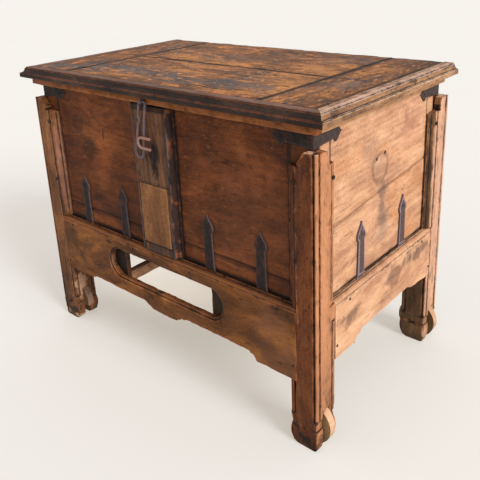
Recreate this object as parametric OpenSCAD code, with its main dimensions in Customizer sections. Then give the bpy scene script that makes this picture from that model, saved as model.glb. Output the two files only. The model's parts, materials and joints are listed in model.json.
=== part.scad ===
/* [Stand] */
// Width over the outer faces of the legs, mm
stand_w = 1080; // [1000:10:1200]
// Depth over the outer faces of the legs, mm
stand_d = 670; // [620:10:740]
// Side of a leg's square section, mm
leg_w = 80; // [76:1:88]
// Height of the legs' shoulders, on which the box stands, mm
shoulder_z = 352; // [344:2:380]
// How far the legs' peaks stay below the rim of the box, mm
leg_drop = 65; // [64:1:90]
// Set-back of the box walls from the legs' outer faces, mm
recess = 24; // [22:1:28]
// Radius of the bead on a leg's corner, mm
bead_r = 6; // [4:0.5:7]
// Width of the groove beside a bead, mm
quirk_w = 4; // [2:0.5:5]
// Depth of the groove beside a bead, mm
quirk_d = 4; // [2:0.5:5]
// Width of the moulding on a leg's inner edges above the rails, mm
leg_moulding_w = 30; // [26:1:34]
// Width of a leg's flat peak along the front, mm
peak_front = 35; // [28:1:42]
// Width of a leg's flat peak along the side, mm
peak_side = 45; // [36:1:48]
// Drop from a leg's peak to the foot of its curve, mm
peak_fall = 25; // [18:1:32]
// Further drop to the top of the moulding beside it, mm
step_fall = 11; // [6:1:16]
// Distance from the foot of the curve to the edge of a leg's flat face, mm
step_in = 8; // [4:1:12]
// Distance from that edge to the end of the level part beside it, mm
step_out = 10; // [6:1:20]
// Last fall over the moulding at a leg's inner edge, mm
edge_fall = 4; // [2:1:8]

/* [Feet] */
// Height of the rounded foot block below the notch, mm
foot_h = 62; // [54:1:72]
// Height of the notch above the foot block, mm
notch_h = 26; // [16:1:32]
// Depth of the notch, mm
notch_d = 4.5; // [2:0.5:6]
// Rounding of a foot's left and right lower edges, mm
foot_round_x = 22; // [12:1:26]
// Rounding of a foot's front and rear lower edges, mm
foot_round_y = 10; // [4:1:12]

/* [Wheels] */
// Radius of a wooden wheel, mm
wheel_r = 60; // [54:0.5:64]
// Thickness of a wheel, mm
wheel_t = 22; // [16:1:24]
// Clearance under a wheel, mm
wheel_ground = 1; // [0.5:0.5:4]
// Gap between a wheel and each side of its slot, mm
wheel_side_gap = 1; // [0.5:0.25:3]
// Gap between a wheel's rim and the top of its slot, mm
wheel_top_gap = 4; // [2:0.5:8]
// Radius of an axle pin, mm
axle_r = 5; // [4:0.25:7]
// How far an axle pin's ends lie below the leg's faces, mm
axle_sunk = 1.5; // [0.5:0.5:4]
// Radial running clearance of a wheel on its pin, mm
axle_clear = 0.05; // [0.02:0.01:0.1]
// Height above the floor at which the broken wheel ends, mm
break_z = 45; // [40:1:50]

/* [Rails] */
// Thickness of the rails, mm
rail_t = 20; // [18:0.5:20.5]
// Height of the rails' outer top edge, mm
rail_top_z = 382; // [378:1:388]
// Rise of the rails' moulded top towards the box, mm
rail_rise = 14; // [8:1:18]
// Height of the front and rear rails' straight lower edge, mm
front_low_z = 213; // [206:1:222]
// Height of the side rails' straight lower edge, mm
side_low_z = 258; // [248:1:264]
// How far a front or rear rail's end laps over a leg, mm
lap_front = 20; // [12:1:24]
// How far a side rail's end laps over a rear leg, mm
lap_side = 14; // [8:1:20]
// Gap between a side rail's front end and the leg, mm
side_end_gap = 2; // [0.5:0.5:4]
// Clearance in the laps and mortises, mm
joint_gap = 0.2; // [0.1:0.05:0.4]
// Thickness of the tenons, mm
tenon_t = 10; // [8:0.5:10]
// Distance from the tenons' ends to the outer face of a leg, mm
tenon_stop = 26; // [23:1:36]
// Height of the front and rear rails' tenons, mm
front_tenon_h = 110; // [80:2:112]
// Height of the side rails' tenons, mm
side_tenon_h = 76; // [60:2:78]

/* [Front rail outline] */
// Half length of the long slot, ends included, mm
slot_half = 233; // [200:1:250]
// Height of the long slot, mm
slot_h = 89; // [70:1:90]
// Height of the middle of the slot, mm
slot_z = 306; // [302:1:306]
// Width of the moulded step round the slot, mm
slot_step_w = 8; // [4:0.5:10]
// Depth of the moulded step round the slot, mm
slot_step_d = 4; // [2:0.5:6]
// Half width of the pendant in the middle of the rail at its foot, mm
pendant_half = 45; // [36:1:50]
// Width of the ogee at the pendant's left, mm
ogee_w = 49; // [30:1:60]
// Depth of the pendant below the straight edge, mm
pendant_h = 20.5; // [12:0.5:24]
// Distance from the middle to the right bracket's step, mm
bracket_x = 325; // [310:1:340]
// Distance from the middle to the left bracket's worn step, mm
worn_x = 330; // [310:1:345]
// Depth of the whole bracket below the straight edge, mm
bracket_h = 23.7; // [16:0.1:26]
// Depth of the worn bracket below the straight edge, mm
worn_h = 8; // [4:0.5:12]

// Width of the right bracket's curved end, mm
bracket_w = 26; // [18:1:34]
// Depth of the small step at the right bracket's end, mm
bracket_step = 7; // [4:0.5:10]
// Width of what is left of the pendant's broken right ogee, mm
broken_w = 46; // [30:1:60]
// Width of the worn left bracket's slope, mm
worn_w = 60; // [40:1:80]

/* [Side rail outline] */
// Length of the shaped bracket at a side rail's front end, mm
side_bracket_l = 125; // [100:1:150]
// Depth of the shaped bracket at a side rail's front end, mm
side_bracket_h = 27; // [16:1:30]
// Width of the curve at the end of that bracket, mm
side_ogee_w = 36; // [26:1:46]
// Length of the straight bracket at a side rail's rear end, mm
side_rear_l = 108; // [80:1:130]
// Depth of the bracket at a side rail's rear end, mm
side_rear_h = 20; // [10:1:24]
// Width of the slope in front of that bracket, mm
side_slope_w = 34; // [20:1:50]

/* [Rail nails] */
// Distance of the front and rear rails' middle nails from the middle, mm
rail_nail_x = 119; // [80:1:160]
// Distance of the upper nails below a rail's top edge, mm
rail_nail_drop = 7.5; // [5:0.5:12]
// Distance of the upper end nails from a leg's flat face, mm
rail_nail_in = 57; // [30:1:80]
// Distance of the lower end nails from a leg's flat face, mm
low_nail_in = 11; // [8:1:20]
// Distance of the lower end nails above a rail's straight lower edge, mm
low_nail_up = 18; // [10:1:30]
// Positions of the side rails' upper nails from the middle, mm
side_nail_y = [-189, 208]; // [-220:1:220]
// Distance of the side rails' lower nails from the rails' ends, mm
side_nail_in = 7; // [5:0.5:9]
// Distance of the side rails' lower nails above the straight lower edge, mm
side_nail_up = 12; // [6:1:20]
// Length of a rail nail's shank, mm
nail_l = 12; // [8:0.5:15]

/* [Tray runners under the box] */
// Distance from the middle to a hanger board's inner edge, mm
hanger_x = 180; // [160:1:200]
// Width of a hanger board, mm
hanger_w = 80; // [60:1:100]
// Thickness of a hanger board, mm
hanger_t = 14; // [10:1:18]
// Height of a runner, mm
runner_h = 34; // [24:1:40]
// Width of a runner, mm
runner_w = 24; // [16:1:34]
// Height of a runner's lower face above the floor, mm
runner_z = 228; // [216:1:236]
// Distance of a runner from its hanger boards' inner edge, mm
runner_set = 6; // [0:1:20]

/* [Box] */
// Height of the box from shoulder to rim, mm
box_h = 503; // [480:1:520]
// Thickness of the box walls, mm
wall_t = 26; // [20:1:30]
// Thickness of the box floor, mm
floor_t = 22; // [16:1:26]
// Height of the seam in the front and rear walls, mm
front_seam_z = 447; // [420:1:480]
// Height of the side walls' seam at the front edge, mm
side_seam_front_z = 571; // [540:1:590]
// Height of the side walls' seam at the rear edge, mm
side_seam_rear_z = 625; // [600:1:650]
// Width of the seams between boards, mm
seam = 0.6; // [0.2:0.1:1.5]

/* [Front post] */
// Half width of the post's flat face, mm
post_half = 62.5; // [54:0.5:70]
// Width of the moulding on each side of the post, mm
post_moulding_w = 20; // [16:1:26]
// Gap between the post's top and the lip of the lid, mm
post_gap = 3; // [1:0.5:8]
// Half width of the newer board let into the post, mm
patch_half = 56; // [40:1:58]
// Height of the newer board's lower edge above the floor, mm
patch_z = 425; // [410:1:440]
// Height of the newer board, mm
patch_h = 179; // [120:1:220]
// Thickness of the newer board, mm
patch_t = 9; // [6:0.5:12]
// How far the newer board stands out of the post, mm
patch_out = 1; // [0:0.5:2]

/* [Lid] */
// Thickness of the lid's boards, mm
lid_t = 31; // [26:0.5:34]
// Overhang of the lid beyond the legs at the front, mm
over_front = 23; // [18:1:30]
// Overhang of the lid beyond the legs at each side, mm
over_side = 32; // [26:1:38]
// Distance of the lid's rear edge behind the box wall, mm
lid_rear = 5; // [2:0.5:8]
// Width of the moulding along the lid's edges, mm
mould_w = 42; // [36:1:48]
// Height of the moulding along the lid's edges, mm
mould_h = 32; // [28:0.5:36]
// Distance from the moulding's nose to the edge of its top, mm
mould_step = 16; // [12:0.5:18]
// Height of the rounded nose, mm
nose_h = 15; // [10:0.5:17]
// Distance from the middle to the joint of the left end board, mm
left_joint = 374; // [340:1:400]
// Distance from the middle to the joint of the right end board, mm
right_joint = 371; // [340:1:400]
// Distance from the middle of the stand forward to the lid's long seam, mm
lid_seam_y = 18; // [0:1:40]
// Width of the joints between the lid's boards, mm
lid_seam = 1.6; // [0.6:0.2:3]
// Height of the lip under the lid, mm
lip_h = 22; // [21:0.5:24]
// Thickness of the lip under the lid, mm
lip_t = 22; // [20:1:24]
// Gap between the lip and the box walls, mm
lip_gap = 3.5; // [3:0.5:5]
// How far the side lips end short of the rear wall's face, mm
lip_short = 12; // [8:1:30]

/* [Hinges] */
// Distance of the hinges from the middle, mm
hinge_x = 300; // [220:5:380]
// Width of a hinge leaf, mm
leaf_w = 40; // [32:1:56]
// Thickness of a hinge leaf, mm
leaf_t = 3; // [2:0.5:4]
// Length of the leaf on the box, mm
leaf_h = 96; // [60:1:130]
// Radius of a hinge knuckle, mm
knuckle_r = 6.5; // [6:0.25:8]
// Radius of a hinge pin, mm
pin_r = 3; // [2.5:0.25:3.5]
// Radial running clearance on a hinge pin, mm
pin_clear = 0.05; // [0.02:0.01:0.1]
// Length of the middle knuckle, mm
knuckle_l = 14; // [10:0.5:20]
// Gap between knuckles, and between knuckles and the lid, mm
knuckle_gap = 0.5; // [0.3:0.1:1]
// Drop from the knuckles to the foot of their necks, mm
neck_drop = 5; // [4:0.5:8]
// Gap above the middle knuckle and at the top of the lid's leaf, mm
leaf_gap = 1; // [0.5:0.5:2]
// How far a hinge pin's ends stand out, mm
pin_out = 2; // [1:0.5:3]

/* [Irons] */
// Height of a corner iron at the corner, mm
iron_h = 38; // [30:1:38]
// Height of a corner iron beside its spear, mm
iron_neck_h = 26; // [22:1:30]
// Length of a corner iron's arm, spear included, mm
iron_l = 117; // [100:1:130]
// Thickness of the corner irons, mm
iron_t = 2.5; // [1.5:0.25:3]
// Gap between a corner iron and the lip above it, mm
iron_gap = 1; // [0.5:0.5:3]
// Length of the spear on a corner iron, mm
spear_l = 35; // [26:1:42]
// Height of the spear on a corner iron, mm
spear_h = 42; // [34:1:42]
// Width of a strap below its spear, mm
strap_w = 28; // [22:1:32]
// Width of a strap where it meets the rail, mm
strap_foot_w = 34; // [28:1:38]
// Thickness of a strap above the rail, mm
strap_t = 6; // [4:0.25:7]
// Thickness of a strap's end behind the rail, mm
strap_back_t = 3.4; // [2:0.1:3.4]
// Height above the rail at which a strap becomes thin, mm
strap_step = 3; // [2:0.5:6]
// Height of the front straps' tips above the floor, mm
strap_tip_z = 558; // [530:1:580]
// Height of the side straps' tips above the floor, mm
side_strap_tip_z = 550; // [520:1:570]
// Length of a strap's spear, mm
strap_spear_l = 52; // [40:1:60]
// Width of a strap's spear, mm
strap_spear_w = 39; // [34:1:44]
// Height of the straps' hidden lower ends above the floor, mm
strap_low_z = 364; // [354:1:374]
// Positions of the four front straps from the middle, mm
strap_x = [-352, -168, 182, 361]; // [-420:1:420]
// Positions of the two straps on each side, from the middle, mm
strap_y = [-105, 116]; // [-200:1:200]
// Radius of the iron nails' heads, mm
nail_r = 4; // [3:0.25:5]
// Height of the iron nails' heads, mm
nail_head = 1.6; // [1:0.2:2.4]
// Radius of the iron nails' shanks, mm
shank_r = 1.6; // [1.2:0.1:2]
// Radius of the wooden pegs, mm
peg_r = 5; // [4:0.25:6]
// How far the pegs stand out, mm
peg_out = 0.8; // [0.4:0.2:2]
// Depth of the pegs in the box walls, mm
peg_deep = 9; // [6:1:14]
// Distance of a leg's upper front peg below the peak, mm
peg_drop = 73; // [50:1:90]
// Distance of a leg's upper front peg past the flat face, mm
peg_past = 3; // [0:1:8]
// Distance of a leg's lower front peg below the peak, mm
low_peg_drop = 266; // [200:1:300]
// Distance of a leg's side peg below the peak, mm
side_peg_drop = 70; // [50:1:90]
// Distance of a leg's side peg past the flat face, mm
side_peg_past = 9; // [4:1:12]

/* [Hasp] */
// Distance of the hasp to the left of the middle, mm
hasp_x = 3; // [0:1:10]
// Distance of the hasp's pivot in front of the lip, mm
hasp_out = 8; // [7:0.5:9]
// Height of the hasp's pivot above the lip's lower edge, mm
hasp_up = 10; // [9.5:0.5:11]
// Radius of the hasp's rod, mm
hasp_r = 3.5; // [3:0.1:3.7]
// Radius of the rod where it is worn thin in its staple, mm
bar_r = 3; // [2.6:0.1:3.1]
// Radius of the staple's rod, mm
staple_r = 2.5; // [2:0.1:2.7]
// Mean radius of the staple's bend, mm
staple_bend = 6; // [6:0.1:6.4]
// Depth of the staple's prongs in the lip, mm
prong_l = 14; // [8:1:18]
// Length of the hasp from its pivot to the middle of its lower bend, mm
hasp_l = 145; // [136:1:156]
// Sideways lean of the hasp over its length, mm
hasp_lean = 26; // [20:1:32]
// Mean radius of the hasp's lower bend, mm
hasp_bend = 14.5; // [12:0.5:16]
// Swelling of the rod where it was forged to a bend, mm
knot = 0.4; // [0.2:0.1:0.8]
// Distance from the pivot down to the hasp's waist, mm
waist_l = 53; // [44:1:62]
// Half width of the upper eye's flat top and radius of its corners, mm
eye_half = 6.5; // [5:0.25:7.5]
// Distance of the waist's left strand from the hasp's middle line, mm
waist_left = 5.5; // [4.5:0.5:7]
// Distance of the waist's right strand from the hasp's middle line, mm
waist_right = 12; // [10:0.5:14]
// Distance of the elbow above the waist from the hasp's middle line, mm
elbow_x = 10; // [8:0.5:11]
// Height of the elbow above the waist, mm
elbow_z = 10; // [8:1:14]
// Distance of the kink below the waist from the hasp's middle line at the waist, mm
kink_x = 13; // [11:0.5:15]
// Depth of that kink below the waist, mm
kink_z = 10; // [8:1:14]
// Mean radius of the open shackle, mm
shackle_bend = 14.5; // [12:0.5:16]
// Radius of the shackle's rod, mm
shackle_r = 3.8; // [3:0.1:4.2]
// Length of the shackle's arms, mm
shackle_arm = 33; // [24:1:38]
// Distance from the pivot down to the middle of the shackle, mm
shackle_down = 113; // [106:1:120]
// Distance of the shackle's middle to the right of the hasp's middle line, mm
shackle_shift = 14; // [12.5:0.5:16]

/* [Hidden] */
eps = 1;
over = 0.01;
centre_y = (over_front - nail_head) / 2;
half_w = stand_w / 2;
half_d = stand_d / 2;
wall_x = half_w - recess;
wall_y = half_d - recess;
rim_z = shoulder_z + box_h;
leg_h = rim_z - leg_drop;
rail_back_z = rail_top_z + rail_rise;
rail_cap_z = rail_back_z + joint_gap;
slot_gap_t = wheel_t + 2 * wheel_side_gap;
axle_z = wheel_r + wheel_ground;
leg_mid = leg_w / 2;
field = leg_w - lap_front;
wheel_x = half_w - leg_mid;
wheel_y = half_d - leg_mid;
nose_x = half_w + over_side;
nose_y = half_d + over_front;
panel_x = nose_x - mould_w;
panel_y = nose_y - mould_w;
lid_back = wall_y + lid_rear;
lip_z = rim_z - lip_h;
lip_x = wall_x + lip_gap;
lip_y = wall_y + lip_gap;
pivot_y = lip_y + lip_t + hasp_out;
pivot_z = lip_z + hasp_up;
hinge_y = lid_back + knuckle_gap + knuckle_r;
hinge_z = rim_z;
iron_top = lip_z - iron_gap;
iron_mid_z = iron_top - max(spear_h, iron_h) / 2;
post_top = lip_z - post_gap;
tenon_l = field - tenon_stop;
rail_x = half_w - field;
side_y0 = -half_d + leg_w + side_end_gap;
side_y1 = half_d - leg_w + lap_side;
spear_nail = 0.34;
tip_half = 0.8;
shackle_bite = 0.05;
tenon_back = rail_t - 2;
tenon_z = front_low_z + 17;
side_tenon_z = side_low_z + 7;
lean_rate = hasp_lean / hasp_l;
iron_dark = [0.16, 0.14, 0.14];
wood_brown = [0.44, 0.26, 0.13];
wood_box = [0.47, 0.28, 0.15];
wood_lid = [0.52, 0.35, 0.2];
wood_dark = [0.22, 0.16, 0.13];
wood_old = [0.3, 0.19, 0.11];
wood_gold = [0.6, 0.4, 0.19];
wood_wheel = [0.74, 0.6, 0.43];

// places what is drawn about the middle of the stand in the frame of the whole part
module place() {
  translate([0, centre_y, 0])
    children();
}

// puts what is drawn from a leg's outer corner at one of the four corners
module corner(sx, sy) {
  translate([sx * half_w, centre_y + sy * half_d, 0])
    mirror([sx > 0 ? 1 : 0, 0, 0])
      mirror([0, sy > 0 ? 1 : 0, 0])
        children();
}

// turns what is drawn as X and height in the XY plane upright, its depth along Y
module upright(y, t) {
  translate([0, y + t, 0])
    rotate([90, 0, 0])
      linear_extrude(height = t)
        children();
}

// turns what is drawn as Y and height in the XY plane upright, its depth along X
module sideways(x, t) {
  translate([x, 0, 0])
    rotate([90, 0, 90])
      linear_extrude(height = t)
        children();
}

module beads(w) {
  for (cx = [0, 1], cy = [0, 1])
    translate([cx * w, cy * w])
      mirror([cx, 0])
        mirror([0, cy])
          bead_cut();
}

// what is cut from a corner to leave a bead between two grooves
module bead_cut() {
  core = 2 * bead_r;
  difference() {
    union() {
      translate([-eps, -eps])
        square(core + eps);
      translate([core - over, -eps])
        square([quirk_w, quirk_d + eps]);
      translate([-eps, core - over])
        square([quirk_d + eps, quirk_w]);
    }
    translate([bead_r, bead_r])
      circle(r = bead_r, $fn = 48);
    translate([bead_r, bead_r])
      square(core);
  }
}

// plan of a leg's plate along one wall of the box, with the moulding on its inner edge
module plate_plan() {
  w = leg_moulding_w;
  polygon(concat(
    [[0, 0], [field, 0]],
    [for (a = [0 : 18 : 90])
      [field + w * (0.07 + 0.6 * sin(a)), recess * (0.12 + 0.66 * (1 - cos(a)))]],
    [[field + w * 0.8, recess * 0.78], [field + w, recess * 0.93], [field + w, recess], [0, recess]]
  ));
}

// what is cut from the top of a plate beside the peak
module peak_cut(peak) {
  run = field - step_in - peak;
  step_z = leg_h - peak_fall - step_fall;
  edge_x = field + leg_moulding_w + eps;
  polygon(concat(
    [[peak, leg_h + eps]],
    [for (i = [0 : 6])
      [peak + run * i / 6, leg_h - peak_fall * (0.5 - 0.5 * cos(30 * i))]],
    [[field - step_in, step_z], [field + step_out, step_z], [edge_x, step_z - edge_fall],
     [edge_x, leg_h + eps]]
  ));
}

module foot_side(r) {
  intersection() {
    square([leg_w, foot_h]);
    union() {
      translate([r, 0])
        square([leg_w - 2 * r, foot_h]);
      translate([0, r])
        square([leg_w, foot_h]);
      translate([r, r])
        circle(r = r, $fn = 48);
      translate([leg_w - r, r])
        circle(r = r, $fn = 48);
    }
  }
}

module foot() {
  intersection() {
    upright(0, leg_w)
      foot_side(foot_round_x);
    sideways(0, leg_w)
      foot_side(foot_round_y);
  }
}

module leg_body(side_lap, lap_drop) {
  foot();
  translate([notch_d, notch_d, foot_h - over])
    cube([leg_w - 2 * notch_d, leg_w - 2 * notch_d, notch_h + 2 * over]);
  difference() {
    translate([0, 0, foot_h + notch_h])
      linear_extrude(height = shoulder_z - foot_h - notch_h)
        difference() {
          square(leg_w);
          beads(leg_w);
        }
    translate([field, -eps, -eps])
      cube([lap_front + eps, rail_t + joint_gap + eps, shoulder_z + 2 * eps]);
    if (side_lap > 0)
      translate([-eps, leg_w - side_lap, -eps])
        cube([rail_t + joint_gap + eps, side_lap + eps, shoulder_z + 2 * eps]);
  }
  leg_below_laps(side_lap, lap_drop);
  leg_upper(side_lap);
}

// the full section that runs on below the laps
module leg_below_laps(side_lap, lap_drop) {
  translate([0, 0, foot_h + notch_h])
    linear_extrude(height = front_low_z - lap_drop - joint_gap - foot_h - notch_h)
      difference() {
        square(leg_w);
        beads(leg_w);
      }
  if (side_lap > 0)
    translate([0, leg_w - side_lap - eps, foot_h + notch_h])
      linear_extrude(height = side_low_z - side_rear_h - joint_gap - foot_h - notch_h)
        difference() {
          square([field, side_lap + eps]);
          translate([0, side_lap + eps])
            mirror([0, 1])
              bead_cut();
        }
}

module leg_upper(side_lap) {
  difference() {
    union() {
      translate([0, 0, shoulder_z - over])
        cube([field, recess, rail_cap_z - shoulder_z + 2 * over]);
      translate([0, 0, shoulder_z - over])
        cube([recess, leg_w - side_lap, rail_cap_z - shoulder_z + 2 * over]);
      difference() {
        translate([0, 0, rail_cap_z])
          linear_extrude(height = leg_h - rail_cap_z)
            union() {
              plate_plan();
              mirror([1, -1])
                plate_plan();
            }
        upright(-eps, recess + eps)
          peak_cut(peak_front);
        sideways(-eps, recess + eps)
          peak_cut(peak_side);
      }
    }
    translate([0, 0, shoulder_z - eps])
      linear_extrude(height = leg_h)
        bead_cut();
  }
}

module mortises(side_lap) {
  translate([tenon_stop - joint_gap, tenon_back - tenon_t - joint_gap, tenon_z - joint_gap])
    cube([tenon_l + joint_gap + eps, tenon_t + 2 * joint_gap, front_tenon_h + 2 * joint_gap]);
  translate([tenon_back - tenon_t - joint_gap, tenon_stop - joint_gap, side_tenon_z - joint_gap])
    cube([tenon_t + 2 * joint_gap, leg_w - side_lap - tenon_stop + joint_gap + eps,
      side_tenon_h + 2 * joint_gap]);
}

module wheel_slot() {
  translate([-eps, leg_mid - slot_gap_t / 2, -eps])
    cube([leg_w + 2 * eps, slot_gap_t, axle_z + eps]);
  translate([leg_mid, leg_mid + slot_gap_t / 2, axle_z])
    rotate([90, 0, 0])
      cylinder(r = wheel_r + wheel_top_gap, h = slot_gap_t, $fn = 96);
  translate([leg_mid, leg_w + eps, axle_z])
    rotate([90, 0, 0])
      cylinder(r = axle_r, h = leg_w + 2 * eps, $fn = 48);
}

// a leg whose lap for the side rail is side_lap wide, and whose laps for the front or
// rear rail end lap_drop below that rail's straight lower edge
module leg(side_lap, lap_drop) {
  difference() {
    leg_body(side_lap, lap_drop);
    mortises(side_lap);
    wheel_slot();
    peg_holes();
  }
}

// places of the wooden pegs on a leg
module leg_marks() {
  translate([field + peg_past, 0, leg_h - peg_drop])
    rotate([-90, 0, 0])
      children();
  translate([field, 0, leg_h - low_peg_drop])
    rotate([-90, 0, 0])
      children();
  translate([0, field + side_peg_past, leg_h - side_peg_drop])
    rotate([0, 90, 0])
      children();
}

module peg_holes() {
  leg_marks()
    translate([0, 0, -eps])
      cylinder(r = peg_r, h = recess + 2 * eps, $fn = 32);
}

module leg_front_left() {
  color(wood_brown)
    corner(-1, -1)
      leg(0, worn_h);
}

module leg_front_right() {
  color(wood_brown)
    corner(1, -1)
      leg(0, bracket_h);
}

module leg_rear_left() {
  color(wood_brown)
    corner(-1, 1)
      leg(lap_side, 0);
}

module leg_rear_right() {
  color(wood_brown)
    corner(1, 1)
      leg(lap_side, 0);
}

// cross-section of what is cut to leave a rail's moulded top, depth and height
module rail_top_cut(t) {
  polygon(concat(
    [[-eps, rail_top_z]],
    [for (a = [0 : 15 : 90])
      [t * (0.05 + 0.75 * (1 - cos(a))), rail_top_z + rail_rise * (0.14 + 0.79 * sin(a))]],
    [[t * 0.85, rail_back_z - rail_rise * 0.07], [t * 0.85, rail_back_z + eps], [-eps, rail_back_z + eps]]
  ));
}

// an S-shaped fall from left to right, as height over length
module ogee(w, h) {
  polygon(concat(
    [[0, 0]],
    [for (i = [0 : 8])
      [w * i / 8, -h * (0.5 - 0.5 * cos(22.5 * i))]],
    [[w, 0]]
  ));
}

module front_outline() {
  x1 = rail_x - joint_gap;
  translate([-x1, front_low_z])
    square([2 * x1, rail_back_z - front_low_z]);
  translate([-pendant_half - ogee_w, front_low_z + over])
    ogee(ogee_w, pendant_h);
  translate([-pendant_half, front_low_z - pendant_h])
    square([2 * pendant_half + broken_w * 0.11, pendant_h + over]);
  // the right ogee, broken off along the grain
  polygon([
    [pendant_half, front_low_z + over],
    [pendant_half, front_low_z - pendant_h],
    [pendant_half + broken_w * 0.11, front_low_z - pendant_h],
    [pendant_half + broken_w * 0.17, front_low_z - pendant_h * 0.72],
    [pendant_half + broken_w * 0.41, front_low_z - pendant_h * 0.62],
    [pendant_half + broken_w * 0.52, front_low_z - pendant_h * 0.35],
    [pendant_half + broken_w * 0.85, front_low_z - pendant_h * 0.22],
    [pendant_half + broken_w, front_low_z + over]
  ]);
  // the right bracket
  polygon([
    [bracket_x, front_low_z + over],
    [bracket_x + bracket_w * 0.14, front_low_z - bracket_step],
    [bracket_x + bracket_w * 0.56, front_low_z - bracket_step],
    [bracket_x + bracket_w * 0.81, front_low_z - bracket_h * 0.62],
    [bracket_x + bracket_w, front_low_z - bracket_h * 0.97],
    [x1 - lap_front, front_low_z - bracket_h],
    [x1, front_low_z - bracket_h],
    [x1, front_low_z + over]
  ]);
  // the left bracket, worn away
  polygon([
    [-worn_x, front_low_z + over],
    [-worn_x - worn_w * 0.1, front_low_z - worn_h * 0.7],
    [-worn_x - worn_w, front_low_z - worn_h],
    [-x1, front_low_z - worn_h],
    [-x1, front_low_z + over]
  ]);
}

module stadium(grow, t) {
  r = slot_h / 2;
  for (s = [-1, 1])
    translate([s * (slot_half - r), 0, slot_z])
      rotate([-90, 0, 0])
        cylinder(r = r + grow, h = t, $fn = 96);
  translate([-(slot_half - r), 0, slot_z - r - grow])
    cube([2 * (slot_half - r), t, 2 * (r + grow)]);
}

// places of the nails in the front rail
module rail_nail_marks() {
  top = rail_top_z - rail_nail_drop;
  for (s = [-1, 1], p = [[rail_nail_x, top], [rail_x - rail_nail_in, top],
    [rail_x - low_nail_in, front_low_z + low_nail_up]])
    translate([s * p[0], -half_d, p[1]])
      rotate([-90, 0, 0])
        children();
}

// places of the nails in a side rail
module side_nail_marks() {
  top = rail_top_z - rail_nail_drop;
  low = side_low_z + side_nail_up;
  for (p = [[side_nail_y[0], top], [side_nail_y[1], top], [side_y0 + side_nail_in, low],
    [side_y1 - side_nail_in, low]])
    translate([0, p[0], p[1]])
      rotate([0, -90, 0])
        children();
}

module shank() {
  translate([0, 0, -eps])
    cylinder(r = shank_r, h = nail_l + eps, $fn = 24);
}

module rail_front() {
  color(wood_brown)
    place()
      difference() {
        union() {
          upright(-half_d, rail_t)
            front_outline();
          for (s = [-1, 1])
            translate([s * rail_x - (s > 0 ? eps : tenon_l),
              -half_d + tenon_back - tenon_t, tenon_z])
              cube([tenon_l + eps, tenon_t, front_tenon_h]);
        }
        translate([0, -half_d, 0])
          sideways(-half_w, stand_w)
            rail_top_cut(rail_t);
        translate([0, -half_d - eps, 0])
          stadium(0, rail_t + 2 * eps);
        translate([0, -half_d - eps, 0])
          stadium(slot_step_w, slot_step_d + eps);
        rail_nail_marks()
          shank();
      }
}

module rail_rear() {
  x1 = rail_x - joint_gap;
  color(wood_brown)
    place()
      mirror([0, 1, 0])
        difference() {
          union() {
            upright(-half_d, rail_t)
              translate([-x1, front_low_z])
                square([2 * x1, rail_back_z - front_low_z]);
            for (s = [-1, 1])
              translate([s * rail_x - (s > 0 ? eps : tenon_l),
                -half_d + tenon_back - tenon_t, tenon_z])
                cube([tenon_l + eps, tenon_t, front_tenon_h]);
          }
          translate([0, -half_d, 0])
            sideways(-half_w, stand_w)
              rail_top_cut(rail_t);
          rail_nail_marks()
            shank();
        }
}

module side_outline() {
  y0 = side_y0;
  y1 = side_y1 - joint_gap;
  translate([y0, side_low_z])
    square([y1 - y0, rail_back_z - side_low_z]);
  polygon([
    [y0, side_low_z + over],
    [y0, side_low_z - side_bracket_h],
    [y0 + side_bracket_l - side_ogee_w, side_low_z - side_bracket_h],
    [y0 + side_bracket_l - side_ogee_w * 0.89, side_low_z - side_bracket_h * 0.9],
    [y0 + side_bracket_l - side_ogee_w * 0.61, side_low_z - side_bracket_h * 0.58],
    [y0 + side_bracket_l - side_ogee_w * 0.11, side_low_z - side_bracket_h * 0.3],
    [y0 + side_bracket_l, side_low_z + over]
  ]);
  polygon([
    [y1, side_low_z + over],
    [y1, side_low_z - side_rear_h],
    [y1 - side_rear_l, side_low_z - side_rear_h * 0.55],
    [y1 - side_rear_l - side_slope_w * 0.12, side_low_z - side_rear_h * 0.5],
    [y1 - side_rear_l - side_slope_w, side_low_z + over]
  ]);
}

// one side rail, drawn on the left
module side_rail() {
  y = half_d - tenon_stop;
  difference() {
    union() {
      sideways(-half_w, rail_t)
        side_outline();
      translate([-half_w + tenon_back - tenon_t, -y, side_tenon_z])
        cube([tenon_t, 2 * y, side_tenon_h]);
    }
    translate([-half_w, 0, 0])
      mirror([1, -1, 0])
        sideways(-half_d, stand_d)
          rail_top_cut(rail_t);
    translate([-half_w, 0, 0])
      mirror([1, 0, 0])
        side_nail_marks()
          shank();
  }
}

module rail_left() {
  color(wood_brown)
    place()
      side_rail();
}

module rail_right() {
  color(wood_brown)
    place()
      mirror([1, 0, 0])
        side_rail();
}

// the moulding on one edge of the front post, from its face in, for the right or left
function post_edge(s) = [
  for (i = [0 : 5])
    let (a = s > 0 ? 18 * i : 18 * (5 - i), w = post_moulding_w)
      [s * (post_half + w * (0.07 + 0.6 * sin(a))), recess * (0.12 + 0.66 * (1 - cos(a)))]
];

// plan of the front post, from its middle out and from its face in
module post_plan() {
  w = post_moulding_w;
  x1 = post_half + w;
  polygon(concat(
    [[-post_half, 0], [post_half, 0]],
    post_edge(1),
    [[post_half + w * 0.8, recess * 0.78], [x1, recess * 0.93], [x1, recess],
     [-x1, recess], [-x1, recess * 0.93], [-post_half - w * 0.8, recess * 0.78]],
    post_edge(-1)
  ));
}

module post_front() {
  color(wood_brown)
    place()
      difference() {
        translate([0, -half_d, rail_cap_z])
          linear_extrude(height = post_top - rail_cap_z)
            post_plan();
        translate([-patch_half - joint_gap, -half_d - eps, patch_z - joint_gap])
          cube([2 * (patch_half + joint_gap), patch_t - patch_out + eps, patch_h + 2 * joint_gap]);
      }
}

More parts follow.
